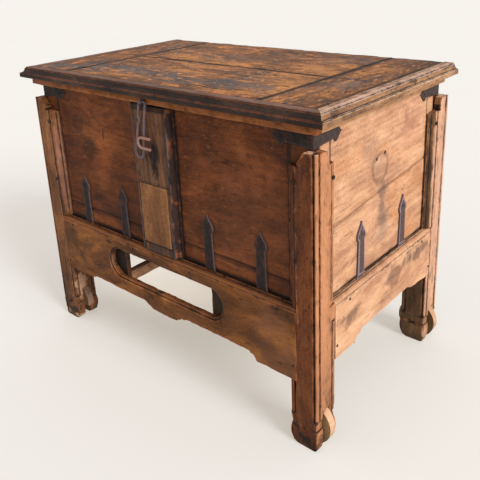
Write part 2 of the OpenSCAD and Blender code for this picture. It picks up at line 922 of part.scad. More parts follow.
module post_patch() {
  color(wood_gold)
    place()
      translate([-patch_half, -half_d - patch_out, patch_z])
        cube([2 * patch_half, patch_t, patch_h]);
}

module hangers() {
  color(wood_old)
    place()
      for (sx = [0, 1], sy = [0, 1])
        mirror([sx, 0, 0])
          mirror([0, sy, 0])
            translate([-hanger_x - hanger_w, -half_d + rail_t, runner_z])
              cube([hanger_w, hanger_t, shoulder_z - runner_z]);
}

module runners() {
  y0 = half_d - rail_t - hanger_t;
  color(wood_old)
    place()
      for (s = [0, 1])
        mirror([s, 0, 0])
          translate([-hanger_x - runner_w - runner_set, -y0, runner_z])
            cube([runner_w, 2 * y0, runner_h]);
}

module long_wall(z0, z1) {
  translate([-wall_x, -wall_y, z0])
    cube([2 * wall_x, wall_t, z1 - z0]);
}

module side_wall(upper) {
  y0 = wall_y - wall_t;
  g = seam / 2;
  sideways(-wall_x, wall_t)
    if (upper)
      polygon([[-y0, side_seam_front_z + g], [y0, side_seam_rear_z + g], [y0, rim_z], [-y0, rim_z]]);
    else
      polygon([
        [-y0, shoulder_z],
        [y0, shoulder_z],
        [y0, side_seam_rear_z - g],
        [-y0, side_seam_front_z - g]
      ]);
}

module wall_holes() {
  for (sx = [0, 1], sy = [0, 1])
    mirror([sx, 0, 0])
      mirror([0, sy, 0])
        translate([-half_w, -half_d, 0])
          leg_marks()
            cylinder(r = peg_r, h = recess + peg_deep + eps, $fn = 32);
}

module box_front_lower() {
  color(wood_box)
    place()
      difference() {
        long_wall(shoulder_z, front_seam_z - seam / 2);
        wall_holes();
      }
}

module box_front_upper() {
  color(wood_box)
    place()
      difference() {
        long_wall(front_seam_z + seam / 2, rim_z);
        wall_holes();
      }
}

module box_rear_lower() {
  color(wood_box)
    place()
      difference() {
        mirror([0, 1, 0])
          long_wall(shoulder_z, front_seam_z - seam / 2);
        wall_holes();
      }
}

module box_rear_upper() {
  color(wood_box)
    place()
      difference() {
        mirror([0, 1, 0])
          long_wall(front_seam_z + seam / 2, rim_z);
        wall_holes();
      }
}

module box_left_lower() {
  color(wood_box)
    place()
      side_wall(false);
}

module box_left_upper() {
  color(wood_box)
    place()
      difference() {
        side_wall(true);
        wall_holes();
      }
}

module box_right_lower() {
  color(wood_box)
    place()
      mirror([1, 0, 0])
        side_wall(false);
}

module box_right_upper() {
  color(wood_box)
    place()
      difference() {
        mirror([1, 0, 0])
          side_wall(true);
        wall_holes();
      }
}

// one of the three boards of the box floor, counted from the front
module floor_board(i) {
  x0 = wall_x - wall_t;
  y0 = wall_y - wall_t;
  w = 2 * y0 / 3;
  color(wood_old)
    place()
      translate([-x0, -y0 + i * w + (i > 0 ? seam : 0), shoulder_z])
        cube([2 * x0, w - (i > 0 ? seam : 0), floor_t]);
}

module floor_front() {
  floor_board(0);
}

module floor_middle() {
  floor_board(1);
}

module floor_rear() {
  floor_board(2);
}

module lid_board(x0, x1, y0, y1) {
  color(wood_lid)
    place()
      translate([x0, y0, rim_z])
        cube([x1 - x0, y1 - y0, lid_t]);
}

module lid_board_front() {
  lid_board(-left_joint + lid_seam, right_joint - lid_seam, -panel_y, -lid_seam_y - lid_seam / 2);
}

module lid_board_rear() {
  lid_board(-left_joint + lid_seam, right_joint - lid_seam, -lid_seam_y + lid_seam / 2, lid_back);
}

module lid_board_left() {
  lid_board(-panel_x, -left_joint, -panel_y, lid_back);
}

module lid_board_right() {
  lid_board(right_joint, panel_x, -panel_y, lid_back);
}

// section of the lid's edge moulding, outwards from its inner edge and up
module mould_section() {
  top = mould_w - mould_step;
  cove_d = mould_step - 8;
  cove_h = mould_h - nose_h - 4.5;
  foot_d = mould_w - 5;
  polygon(concat(
    [[0, 0], [mould_w - 3, 0], [mould_w - 1, 1], [mould_w, 4], [mould_w, nose_h - 4],
     [mould_w - 1, nose_h - 1.2], [mould_w - 3, nose_h], [foot_d, nose_h + 0.5]],
    [for (t = [90 : -15 : 0])
      [foot_d - cove_d * cos(t), nose_h + 1 + cove_h * (1 - sin(t))]],
    [[top, nose_h + 1.6 + cove_h], [top, mould_h - 1], [top - 1.5, mould_h], [0, mould_h]]
  ));
}

module lid_moulding_front() {
  color(wood_dark)
    place()
      intersection() {
        translate([0, 0, rim_z])
          rotate([90, 0, 90])
            linear_extrude(height = 2 * nose_x, center = true)
              translate([-panel_y, 0])
                mirror([1, 0])
                  mould_section();
        translate([0, 0, rim_z - eps])
          linear_extrude(height = mould_h + 2 * eps)
            polygon([[-panel_x, -panel_y], [-nose_x, -nose_y], [nose_x, -nose_y], [panel_x, -panel_y]]);
      }
}

module side_moulding() {
  intersection() {
    translate([panel_x, lid_back, rim_z])
      rotate([90, 0, 0])
        linear_extrude(height = lid_back + nose_y)
          mould_section();
    translate([0, 0, rim_z - eps])
      linear_extrude(height = mould_h + 2 * eps)
        polygon([[panel_x, -panel_y], [nose_x, -nose_y], [nose_x + eps, -nose_y], [nose_x + eps, lid_back],
          [panel_x, lid_back]]);
  }
}

module lid_moulding_left() {
  color(wood_dark)
    place()
      mirror([1, 0, 0])
        side_moulding();
}

module lid_moulding_right() {
  color(wood_lid)
    place()
      side_moulding();
}

module lid_lip_front() {
  x1 = lip_x + lip_t;
  color(wood_brown)
    place()
      difference() {
        translate([-x1, -lip_y - lip_t, lip_z])
          cube([2 * x1, lip_t, lip_h]);
        staple_rod();
      }
}

module side_lip() {
  translate([lip_x, -lip_y, lip_z])
    cube([lip_t, lip_y + wall_y - lip_short, lip_h]);
}

module lid_lip_left() {
  color(wood_brown)
    place()
      mirror([1, 0, 0])
        side_lip();
}

module lid_lip_right() {
  color(wood_brown)
    place()
      side_lip();
}

// outline of a leaf-shaped spear, length along X from its neck
module spear(l, w, neck) {
  side = [for (i = [0 : 8])
    [l * (0.22 + 0.78 * i / 8), tip_half + (w / 2 - tip_half) * (0.5 + 0.5 * cos(22.5 * i))]];
  half = concat([[-over, neck / 2], [l * 0.02, w * 0.42], [l * 0.1, w * 0.48]], side);
  polygon(concat(half, [for (i = [len(half) - 1 : -1 : 0]) [half[i][0], -half[i][1]]]));
}

// one arm of a corner iron, from the corner out along X, its middle height at zero
module iron_arm() {
  neck_x = iron_l - spear_l;
  polygon([[0, -iron_h / 2], [neck_x, -iron_neck_h / 2], [neck_x, iron_neck_h / 2], [0, iron_h / 2]]);
  translate([neck_x, 0])
    spear(spear_l, spear_h, iron_neck_h);
}

module iron_nail_marks() {
  n = iron_l - spear_l * 0.8;
  translate([recess + n, recess - iron_t, iron_mid_z])
    rotate([-90, 0, 0])
      children();
  translate([recess - iron_t, recess + n, iron_mid_z])
    rotate([0, 90, 0])
      children();
}

// a corner iron drawn from the corner of the leg below it
module corner_iron() {
  difference() {
    translate([0, 0, iron_mid_z]) {
      translate([recess - iron_t, 0, 0])
        upright(recess - iron_t, iron_t)
          iron_arm();
      translate([0, recess - iron_t, 0])
        sideways(recess - iron_t, iron_t)
          iron_arm();
    }
    iron_nail_marks()
      translate([0, 0, -eps])
        cylinder(r = shank_r, h = iron_t + 2 * eps, $fn = 24);
  }
}

module iron_front_left() {
  color(iron_dark)
    corner(-1, -1)
      corner_iron();
}

module iron_front_right() {
  color(iron_dark)
    corner(1, -1)
      corner_iron();
}

module iron_rear_left() {
  color(iron_dark)
    corner(-1, 1)
      corner_iron();
}

module iron_rear_right() {
  color(iron_dark)
    corner(1, 1)
      corner_iron();
}

module strap(tip_z) {
  base = tip_z - strap_spear_l;
  step_z = rail_back_z + strap_step;
  foot = strap_foot_w / 2;
  difference() {
    union() {
      translate([-foot, strap_low_z, 0])
        cube([strap_foot_w, step_z - strap_low_z + over, strap_back_t]);
      linear_extrude(height = strap_t)
        union() {
          polygon([[-foot, step_z], [foot, step_z], [strap_w / 2, base], [-strap_w / 2, base]]);
          translate([0, base])
            rotate(90)
              spear(strap_spear_l, strap_spear_w, strap_w);
        }
    }
    translate([0, base + strap_spear_l * spear_nail, -eps])
      cylinder(r = shank_r, h = strap_t + 2 * eps, $fn = 24);
  }
}

// stands what is drawn with its back on the XY plane against the front wall
module on_front() {
  for (x = strap_x)
    translate([x, -wall_y, 0])
      rotate([90, 0, 0])
        children();
}

// stands what is drawn with its back on the XY plane against the right wall
module on_right() {
  for (y = strap_y)
    translate([wall_x, y, 0])
      rotate([90, 0, 90])
        children();
}

module straps_front() {
  color(iron_dark)
    place()
      on_front()
        strap(strap_tip_z);
}

module straps_right() {
  color(iron_dark)
    place()
      on_right()
        strap(side_strap_tip_z);
}

module straps_left() {
  color(iron_dark)
    place()
      mirror([1, 0, 0])
        on_right()
          strap(side_strap_tip_z);
}

module along_x(x0, l, y, z, r, facets) {
  translate([x0, y, z])
    rotate([0, 90, 0])
      cylinder(r = r, h = l, $fn = facets);
}

module hinge_leaves_box() {
  half_k = knuckle_l / 2;
  side_l = leaf_w / 2 - half_k - knuckle_gap;
  neck_z = hinge_z - knuckle_r - neck_drop;
  color(iron_dark)
    place()
      for (s = [-1, 1])
        translate([s * hinge_x, 0, 0])
          difference() {
            union() {
              translate([-leaf_w / 2, wall_y, neck_z - leaf_h])
                cube([leaf_w, leaf_t, leaf_h + over]);
              for (x0 = [-leaf_w / 2, half_k + knuckle_gap]) {
                translate([x0, wall_y, neck_z])
                  cube([side_l, hinge_y - wall_y, neck_drop + knuckle_r / 2]);
                along_x(x0, side_l, hinge_y, hinge_z, knuckle_r, 48);
              }
            }
            along_x(-leaf_w, 2 * leaf_w, hinge_y, hinge_z, pin_r, 48);
          }
}

module hinge_leaves_lid() {
  half_k = knuckle_l / 2;
  leaf_z = hinge_z + knuckle_r + leaf_gap;
  color(iron_dark)
    place()
      for (s = [-1, 1])
        translate([s * hinge_x, 0, 0])
          difference() {
            union() {
              translate([-leaf_w / 2, lid_back, leaf_z])
                cube([leaf_w, leaf_t, rim_z + lid_t - leaf_gap - leaf_z]);
              translate([-half_k, lid_back, hinge_z + leaf_gap])
                cube([knuckle_l, leaf_t, knuckle_r + eps]);
              along_x(-half_k, knuckle_l, hinge_y, hinge_z, knuckle_r, 48);
            }
            along_x(-leaf_w, 2 * leaf_w, hinge_y, hinge_z, pin_r + pin_clear, 48);
          }
}

module hinge_pins() {
  l = leaf_w + 2 * pin_out;
  color(iron_dark)
    place()
      for (s = [-1, 1])
        along_x(s * hinge_x - l / 2, l, hinge_y, hinge_z, pin_r, 48);
}

// the staple's prongs and bend, about the hasp's pivot
module staple_rod() {
  translate([-hasp_x, -pivot_y, pivot_z]) {
    for (s = [-1, 1])
      translate([0, -over, s * staple_bend])
        rotate([-90, 0, 0])
          cylinder(r = staple_r, h = hasp_out + prong_l, $fn = 32);
    rotate([0, 0, 180])
      rotate([0, -90, 0])
        rotate_extrude(angle = 180, $fn = 64)
          translate([staple_bend, 0])
            circle(r = staple_r, $fn = 32);
  }
}

module lid_staple() {
  color(iron_dark)
    place()
      staple_rod();
}

module rod(a, b, r) {
  d = b - a;
  l = norm(d);
  translate(a)
    rotate([0, acos(d[2] / l), atan2(d[1], d[0])])
      cylinder(r = r, h = l, $fn = 32);
}

// the hasp's rod, bent to two eyes, drawn from its pivot down
module hasp_loop() {
  half = eye_half;
  low = -hasp_l;
  lean_low = -hasp_lean;
  lean_waist = -lean_rate * waist_l;
  left = [
    [-2 * half, 0, -half],
    [lean_waist - elbow_x, 0, -waist_l + elbow_z],
    [lean_waist - waist_left, 0, -waist_l],
    [lean_waist - kink_x, 0, -waist_l - kink_z],
    [lean_low - hasp_bend, 0, low]
  ];
  right = [
    [2 * half, 0, -half],
    [lean_waist + waist_right, 0, -waist_l],
    [lean_low + hasp_bend, 0, low]
  ];
  rod([-half - over, 0, 0], [half + over, 0, 0], bar_r);
  for (s = [0, 1])
    mirror([s, 0, 0])
      translate([half, 0, -half])
        rotate([90, 0, 0])
          rotate_extrude(angle = 90, $fn = 64)
            translate([half, 0])
              circle(r = hasp_r, $fn = 32);
  for (i = [0 : 3])
    rod(left[i], left[i + 1], hasp_r);
  for (i = [0 : 1])
    rod(right[i], right[i + 1], hasp_r);
  for (p = concat(left, right))
    translate(p)
      sphere(r = hasp_r + knot, $fn = 32);
  translate([lean_low, 0, low])
    rotate([-90, 0, 0])
      rotate_extrude(angle = 180, $fn = 64)
        translate([hasp_bend, 0])
          circle(r = hasp_r, $fn = 32);
}

module hasp() {
  color(iron_dark)
    place()
      translate([-hasp_x, -pivot_y, pivot_z])
        hasp_loop();
}

module shackle() {
  x0 = -lean_rate * shackle_down + shackle_shift;
  color(iron_dark)
    place()
      translate([-hasp_x + x0, -pivot_y - hasp_r - shackle_r + shackle_bite, pivot_z - shackle_down]) {
        rotate([90, 0, 0])
          rotate([0, 0, 90])
            rotate_extrude(angle = 180, $fn = 64)
              translate([shackle_bend, 0])
                circle(r = shackle_r, $fn = 32);
        for (s = [-1, 1])
          rod([-over, 0, s * shackle_bend], [shackle_arm, 0, s * shackle_bend], shackle_r);
      }
}

// a wheel standing in its slot, drawn about its axle
module wheel_disc() {
  rotate([90, 0, 0])
    difference() {
      cylinder(r = wheel_r, h = wheel_t, center = true, $fn = 96);
      cylinder(r = axle_r + axle_clear, h = wheel_t + 2 * eps, center = true, $fn = 48);
    }
}

module at_wheel(sx, sy) {
  place()
    translate([sx * wheel_x, sy * wheel_y, axle_z])
      children();
}

module wheel_front_left() {
  color(wood_wheel)
    at_wheel(-1, -1)
      difference() {
        wheel_disc();
        translate([-wheel_r - eps, -wheel_t, -wheel_r - eps])
          cube([2 * (wheel_r + eps), 2 * wheel_t, wheel_r + eps - axle_z + break_z]);
      }
}

module wheel_front_right() {
  color(wood_wheel)
    at_wheel(1, -1)
      wheel_disc();
}

module wheel_rear_left() {
  color(wood_wheel)
    at_wheel(-1, 1)
      wheel_disc();
}

module wheel_rear_right() {
  color(wood_wheel)
    at_wheel(1, 1)
      wheel_disc();
}

module axle_pins() {
  l = leg_w - 2 * axle_sunk;
  color(wood_old)
    for (sx = [-1, 1], sy = [-1, 1])
      at_wheel(sx, sy)
        rotate([90, 0, 0])
          cylinder(r = axle_r, h = l, center = true, $fn = 48);
}

// an iron nail with its head's flat side at zero and its shank along Z
module nail(l) {
  translate([0, 0, -over])
    cylinder(r = shank_r, h = l + over, $fn = 24);
  translate([0, 0, -nail_head])
    cylinder(r1 = nail_r * 0.6, r2 = nail_r, h = nail_head, $fn = 24);
}

module iron_nails() {
  color(iron_dark) {
    for (sx = [-1, 1], sy = [-1, 1])
      corner(sx, sy)
        iron_nail_marks()
          nail(iron_t);
    place() {
      on_front()
        translate([0, strap_tip_z - strap_spear_l * (1 - spear_nail), strap_t])
          mirror([0, 0, 1])
            nail(strap_t);
      for (s = [0, 1])
        mirror([s, 0, 0])
          on_right()
            translate([0, side_strap_tip_z - strap_spear_l * (1 - spear_nail), strap_t])
              mirror([0, 0, 1])
                nail(strap_t);
    }
  }
}

module rail_nails() {
  color(iron_dark)
    place() {
      for (s = [0, 1])
        mirror([0, s, 0])
          rail_nail_marks()
            nail(nail_l);
      for (s = [0, 1])
        mirror([s, 0, 0])
          translate([half_w, 0, 0])
            side_nail_marks()
              nail(nail_l);
    }
}

module leg_pegs() {
  color(wood_old)
    for (sx = [-1, 1], sy = [-1, 1])
      corner(sx, sy)
        leg_marks()
          translate([0, 0, -peg_out])
            cylinder(r = peg_r, h = peg_out + recess + peg_deep, $fn = 32);
}

leg_front_left();
leg_front_right();
leg_rear_left();
leg_rear_right();
rail_front();
rail_rear();
rail_left();
rail_right();
post_front();
post_patch();
hangers();
runners();
box_front_lower();
box_front_upper();
box_rear_lower();
box_rear_upper();
box_left_lower();
box_left_upper();
box_right_lower();
box_right_upper();
floor_front();
floor_middle();
floor_rear();
lid_board_front();
lid_board_rear();
lid_board_left();
lid_board_right();
lid_moulding_front();
lid_moulding_left();
lid_moulding_right();
lid_lip_front();
lid_lip_left();
lid_lip_right();
iron_front_left();
iron_front_right();
iron_rear_left();
iron_rear_right();
straps_front();
straps_left();
straps_right();
hinge_leaves_box();
hinge_leaves_lid();
hinge_pins();
lid_staple();
hasp();
shackle();
wheel_front_left();
wheel_front_right();
wheel_rear_left();
wheel_rear_right();
axle_pins();
iron_nails();
rail_nails();
leg_pegs();
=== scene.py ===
import json
import math

import bmesh
import bpy
from mathutils import Matrix, Vector, kdtree, noise


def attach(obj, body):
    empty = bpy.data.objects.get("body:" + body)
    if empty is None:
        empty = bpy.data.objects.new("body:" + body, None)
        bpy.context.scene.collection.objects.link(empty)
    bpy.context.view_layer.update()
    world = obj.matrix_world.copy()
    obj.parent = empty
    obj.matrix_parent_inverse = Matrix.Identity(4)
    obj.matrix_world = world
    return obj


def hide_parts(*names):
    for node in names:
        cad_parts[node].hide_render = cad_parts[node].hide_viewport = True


bl_info = {
    "name": "Old trunk on its stand",
    "version": (1, 0, 0),
    "blender": (4, 5, 0),
    "location": "3D View > Sidebar > Trunk",
    "description": "Gives the packed trunk its worn wood, forged iron, stage and camera",
    "category": "Object",
}

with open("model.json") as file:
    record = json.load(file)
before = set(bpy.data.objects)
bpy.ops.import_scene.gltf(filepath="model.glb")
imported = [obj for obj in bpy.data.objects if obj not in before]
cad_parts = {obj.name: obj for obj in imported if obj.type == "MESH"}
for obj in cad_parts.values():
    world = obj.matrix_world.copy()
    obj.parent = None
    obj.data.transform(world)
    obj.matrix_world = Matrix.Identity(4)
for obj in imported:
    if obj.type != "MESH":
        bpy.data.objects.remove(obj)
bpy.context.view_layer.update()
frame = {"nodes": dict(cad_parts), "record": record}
BODY = {n: b for b, names in frame["record"]["behaviour"]["bodies"].items() for n in names}
MIDDLE_Y = 0.0107  # the middle of the stand in the frame, in metres
GRAIN_TURNS = {"X": (0, 0, 0), "Y": (0, 0, -90), "Z": (0, 90, 0)}
FRONT_Y = -0.324  # front faces of the legs, rail and post, less a little wear
SIDE_X = 0.54  # right faces of the legs and rail
RAIL_TOP = 0.398  # middle of the band of dirt and painted shade along the tops of the rails
IRON_SIDE_X = 0.5165  # past this an iron lies on the right side of the box, where it takes a lighter colour as painted light
LIP_FOOT = 0.834  # middle of the band of dirt and painted shade under the lid's lip
LEG_X = 0.5  # middle of a leg, from the middle of the stand
LEG_Y = 0.295  # the same from front to rear
LEG_HALF = 0.040  # half a leg's width
FOOT_H = 0.0885  # height of the foot and the notch over it
NOTCH_H = 0.032  # height of that notch, with some to spare
NOTCH_D = 0.006  # its depth
NICK_D = 0.003  # what is left of it at the sides
FOOT_R = 0.048  # height over which its lower edges draw in
SLOT_HALF = 0.0145  # half the width of the slot for the wheel, with a little to spare
EDGE_ROUND = 0.0015  # usual radius of a board's rounded edges
EDGE_WEAR = 0.0016  # usual depth of the dents along worn edges
BEAD_W = 0.0140  # width of the bead at a leg's outer corner, with its groove
BEAD_SHARE = 0.58  # share of that width that the bead keeps across the front
DRUM_Z = 0.040  # height at which the foot is widest
DRUM_REACH = 0.021  # how far above and below it the swell ends
DRUM_SWELL = 0.06  # how much wider it is there
DRUM_DRAW = 0.08  # how much its outer faces draw in at the floor
DRUM_INNER_DRAW = 0.26  # how much its inner face does
TONE_STOPS = (0.36, 0.50, 0.63)  # where wood is dark, middle and light
BLOTCH_SHARE = 0.66  # share of the blotches in its tone
BROAD_SHARE = 0.40  # share of the slow change from one end of a board to the other
FRAME_PX = 480.0  # side of the photograph
FOCAL_PX = 628.06  # its focal length, from the fit of the camera
MIDDLE_ROW = 160.0  # row of pixels at the level of the lens
EYE = (1.2560, -1.3802 + MIDDLE_Y, 1.2112)  # place of the lens, in metres
EYE_TURN = (41.702, -18.599, -2.574)  # yaw, pitch and roll in degrees
SUN_FROM = (0.86, -0.10, 0.50)  # way to the studio lamp that stands for a window at the right


# The finishes

class Finish:
    """The nodes of one finish, from its coordinates to its shader."""

    def __init__(self, name):
        self.material = bpy.data.materials.new(name)
        self.material.use_nodes = True
        self.nodes = self.material.node_tree.nodes
        self.links = self.material.node_tree.links
        self.nodes.clear()
        self.shader = self.nodes.new("ShaderNodeBsdfPrincipled")
        out = self.nodes.new("ShaderNodeOutputMaterial")
        self.links.new(self.shader.outputs["BSDF"], out.inputs["Surface"])
        self.at = self.put("TexCoord").outputs["Object"]

    def put(self, kind, sockets=(), **settings):
        """A new node with its settings and sockets filled in."""
        node = self.nodes.new("ShaderNode" + kind)
        for key, value in settings.items():
            setattr(node, key, value)
        for key, value in dict(sockets).items():
            self.feed(node.inputs[key], value)
        return node

    def feed(self, socket, value):
        """Links a socket to another node's output, or sets it."""
        if isinstance(value, bpy.types.NodeSocket):
            self.links.new(value, socket)
        elif socket.type == "RGBA":
            socket.default_value = (*value, 1.0) if len(value) == 3 else value
        else:
            socket.default_value = value

    def math(self, operation, a, b=0.0):
        """A sum on numbers."""
        return self.put("Math", {0: a, 1: b}, operation=operation).outputs[0]

    def vector(self, operation, a, b):
        """A sum on vectors."""
        return self.put("VectorMath", {0: a, 1: b}, operation=operation).outputs["Vector"]

    def mix(self, share, a, b):
        """The colour a, with b laid over it by share."""
        return self.put("Mix", {0: share, 6: a, 7: b}, data_type="RGBA").outputs[2]

    def ease(self, value, low, high, to_low=0.0, to_high=1.0):
        """A smooth step of value from low to high."""
        node = self.put("MapRange", {"Value": value, "From Min": low, "From Max": high,
                                     "To Min": to_low, "To Max": to_high},
                        interpolation_type="SMOOTHSTEP")
        return node.outputs["Result"]

    def ramp(self, value, stops):
        """A colour that runs through the stops, each a place and a colour."""
        node = self.put("ValToRGB", {"Fac": value})
        marks = node.color_ramp.elements
        while len(marks) < len(stops):
            marks.new(0.5)
        for mark, (place, colour) in zip(marks, stops):
            mark.position = place
            mark.color = (*colour, 1.0)
        return node.outputs["Color"]

    def cloud(self, coords, scale, detail=3.0, rough=0.55, warp=0.0):
        """A soft noise from 0 to 1; a larger scale makes it finer."""
        node = self.put("TexNoise", {"Vector": coords, "Scale": scale, "Detail": detail,
                                     "Roughness": rough, "Distortion": warp})
        return node.outputs["Fac"]

    def mark(self, name):
        """A number that the mesh carries: edge, hollow, lit_side (for a painted highlight) or board."""
        return self.put("Attribute", attribute_name=name).outputs["Fac"]

    def place(self, index):
        """The place along X, Y or Z."""
        return self.put("SeparateXYZ", {0: self.at}).outputs[index]

    def swing(self, value, size):
        """The value about zero, times size."""
        return self.math("MULTIPLY", self.math("SUBTRACT", value, 0.5), size)

    def coat(self, colour, mask, amount, tint):
        """The colour with a coat of tint where the mask is 1, as thick as amount."""
        return self.mix(self.math("MULTIPLY", mask, amount), colour, tint)

    def spot(self, centre, radii, ragged=0.35, soft=0.35, ring=0.0, scale=22.0):
        """A mask round centre, in metres, with a ragged soft outline; ring leaves only its rim."""
        offset = self.vector("DIVIDE", self.vector("SUBTRACT", self.at, centre), radii)
        length = self.put("VectorMath", {0: offset}, operation="LENGTH").outputs["Value"]
        length = self.math("ADD", length, self.swing(self.cloud(self.at, scale, 4.0, 0.6), ragged * 4))
        if ring:
            away = self.math("ABSOLUTE", self.math("SUBTRACT", length, 1.0))
            length = self.math("DIVIDE", away, ring)
        return self.ease(length, 1.0, 1.0 - soft)

    def shade(self, tint, broad, fine):
        """The tint with the grain's own light and dark in it."""
        lit = self.mix(self.ease(broad, 0.32, 0.68), [c * 0.70 for c in tint],
                       [min(1.0, c * 1.25) for c in tint])
        return self.mix(self.ease(fine, 0.60, 0.34, 0.0, 0.4), lit, [c * 0.5 for c in tint])

    def finish(self, colour, rough, height=None, relief=0.0004, strength=0.8):
        """The material, once its colour, roughness and relief are joined to the shader."""
        self.feed(self.shader.inputs["Base Color"], colour)
        self.feed(self.shader.inputs["Roughness"], rough)
        if height is not None:
            bump = self.put("Bump", {"Height": height, "Distance": relief, "Strength": strength})
            self.feed(self.shader.inputs["Normal"], bump.outputs["Normal"])
        return self.material


def srgb(r, g, b):
    """A colour read as 0-255 screen values, as linear light."""
    def line(c):
        c /= 255.0
        return c / 12.92 if c <= 0.04045 else ((c + 0.055) / 1.055) ** 2.4
    return (line(r), line(g), line(b))


def wood(name, dark, mid, light, axis="X", figure=0.02, mottle=11.0, worn=None, wear=0.5, dirt_and_shade=None,
         dirt_amount=0.6, edge_dirt=0.0, stains=(), layers=(), patches=(), flecks=(), below=(),
         shadows=(), wormy=False, cracks=0.5, gloss=0.14, streaks=0.06, grit=0.20):
    """Old softwood whose grain runs along axis, mottled, with worn edges and dirt in its hollows.

    stains and flecks are (tint, scale, low, high, amount) of a noise, large and small.
    layers are (axis, low, high, tint, amount): the tint lies past high.
    patches are (centre, radii, tint, amount) and what Finish.spot takes besides.
    below is (high, low, tint): the tint lies under low.
    shadows are (axis, middle, reach, amount) of a dark band in the dirt_and_shade colour: dirt, and
    painted shade along joints, under overhangs and towards the floor."""
    f = Finish(name)
    board = f.mark("board")
    steps = {i: f.math("MULTIPLY", board, step) for i, step in enumerate((3.7, 0.31, 0.17))}
    shift = f.put("CombineXYZ", steps).outputs[0]
    turn = [math.radians(a) for a in GRAIN_TURNS[axis]]
    turned = f.put("Mapping", {"Vector": f.at, "Rotation": turn})
    lean = (math.radians(1.0), math.radians(1.8), math.radians(1.2))
    grain = f.put("Mapping", {"Vector": f.vector("ADD", turned.outputs[0], shift), "Rotation": lean,
                              "Location": (0.0, 0.31, -0.37)}).outputs[0]
    long = f.vector("MULTIPLY", grain, (0.05, 1.0, 1.0))
    blurred = f.vector("MULTIPLY", grain, (0.4, 1.0, 1.0))
    rings = f.put("TexWave", {"Vector": long, "Scale": 19.625, "Distortion": 5.0, "Detail": 3.0,
                              "Detail Scale": 0.6, "Detail Roughness": 0.55},
                  wave_type="RINGS", rings_direction="X", wave_profile="SIN").outputs["Fac"]
    fibre = f.cloud(long, 620.0, 3.0, 0.65)
    streak = f.cloud(f.vector("MULTIPLY", grain, (0.12, 1.0, 1.0)), 150.0, 5.0, 0.65)
    blotch = f.cloud(blurred, mottle, 9.0, 0.68, 0.7)
    broad = f.cloud(f.at, 2.6, 3.0, 0.5)
    speck = f.cloud(f.at, 170.0, 3.0, 0.7)
    tone = f.math("MULTIPLY", rings, figure)
    for part, share in ((streak, streaks), (blotch, BLOTCH_SHARE), (speck, grit), (broad, BROAD_SHARE)):
        tone = f.math("ADD", tone, f.math("MULTIPLY", part, share))
    tone = f.math("SUBTRACT", tone, (figure + streaks + BLOTCH_SHARE + grit + BROAD_SHARE) / 2 - 0.5)
    colour = f.ramp(tone, list(zip(TONE_STOPS, (dark, mid, light))))
    colour = f.mix(f.ease(fibre, 0.60, 0.34, 0.0, 0.25), colour, [c * 0.4 for c in mid])
    for tint, scale, low, high, amount in stains:
        blot = f.cloud(f.vector("ADD", blurred, (scale, 0.0, 0.0)), scale, 9.0, 0.72, 0.4)
        colour = f.coat(colour, f.ease(blot, low, high), amount, f.shade(tint, speck, fibre))
    for index, low, high, tint, amount in layers:
        place = f.math("ADD", f.place(index), f.swing(streak, (high - low) * 2.0))
        colour = f.coat(colour, f.ease(place, low, high), amount, f.shade(tint, blotch, fibre))
    for centre, radii, tint, amount, *ragged in patches:
        colour = f.coat(colour, f.spot(centre, radii, *ragged), amount, f.shade(tint, blotch, fibre))
    for tint, scale, low, high, amount in flecks:
        chip = f.cloud(f.vector("ADD", blurred, (0.0, scale, 0.0)), scale, 6.0, 0.65, 0.3)
        colour = f.coat(colour, f.ease(chip, low, high), amount, f.shade(tint, speck, fibre))
    for high, low, tint in below:
        colour = f.mix(f.ease(f.place(2), high, low), colour, f.shade(tint, blotch, fibre))
    line = f.math("ABSOLUTE", f.math("SUBTRACT", f.cloud(long, 22.0, 2.0, 0.5), 0.5))
    where = f.ease(f.cloud(f.at, 6.0, 3.0), 0.50, 0.60)
    split = f.math("MULTIPLY", f.ease(line, 0.005, 0.0012), f.math("MULTIPLY", where, cracks))
    colour = f.mix(split, colour, [c * 0.10 for c in dark])
    # Dirt and painted shade: dark bands along joints, under overhangs and towards the floor.
    for index, centre, reach, amount in shadows:
        away = f.math("ABSOLUTE", f.math("SUBTRACT", f.place(index), centre))
        away = f.math("ADD", away, f.swing(blotch, reach * 1.6))
        colour = f.coat(colour, f.ease(away, reach, 0.0), amount, dirt_and_shade)
    if edge_dirt:
        near = f.math("ADD", f.mark("edge"), f.swing(speck, 0.8))
        colour = f.coat(colour, f.ease(near, 0.20, 0.70), edge_dirt, dirt_and_shade)
    if dirt_and_shade:
        near = f.math("ADD", f.mark("hollow"), f.swing(f.cloud(f.at, 40.0, 4.0, 0.6), 1.2))
        colour = f.coat(colour, f.ease(near, 0.25, 0.85), dirt_amount, dirt_and_shade)
    if worn:
        near = f.math("ADD", f.mark("edge"), f.swing(f.cloud(f.at, 36.0, 5.0, 0.7), 2.2))
        colour = f.coat(colour, f.ease(near, 0.62, 1.05), wear, f.shade(worn, blotch, fibre))
        nick = f.math("MULTIPLY", f.mark("edge"), f.ease(speck, 0.60, 0.70))
        colour = f.coat(colour, nick, 0.5, [c * 0.3 for c in dark])
    height = f.math("ADD", f.math("MULTIPLY", fibre, 0.28), f.math("MULTIPLY", speck, 0.35))
    height = f.math("SUBTRACT", height, f.math("MULTIPLY", split, 2.0))
    if wormy:
        cells = f.put("TexVoronoi", {"Vector": f.at, "Scale": 105.0, "Randomness": 1.0})
        dot = f.math("MULTIPLY", f.ease(cells.outputs["Distance"], 0.20, 0.13),
                     f.ease(f.cloud(f.at, 16.0, 3.0), 0.42, 0.46))
        colour = f.mix(dot, colour, [c * 0.15 for c in dark])
        height = f.math("SUBTRACT", height, f.math("MULTIPLY", dot, 2.5))
    dull = f.math("ADD", f.math("MULTIPLY", f.cloud(f.at, 12.0, 4.0), 0.28), 0.5)
    f.shader.inputs["Specular IOR Level"].default_value = gloss
    return f.finish(colour, dull, height)


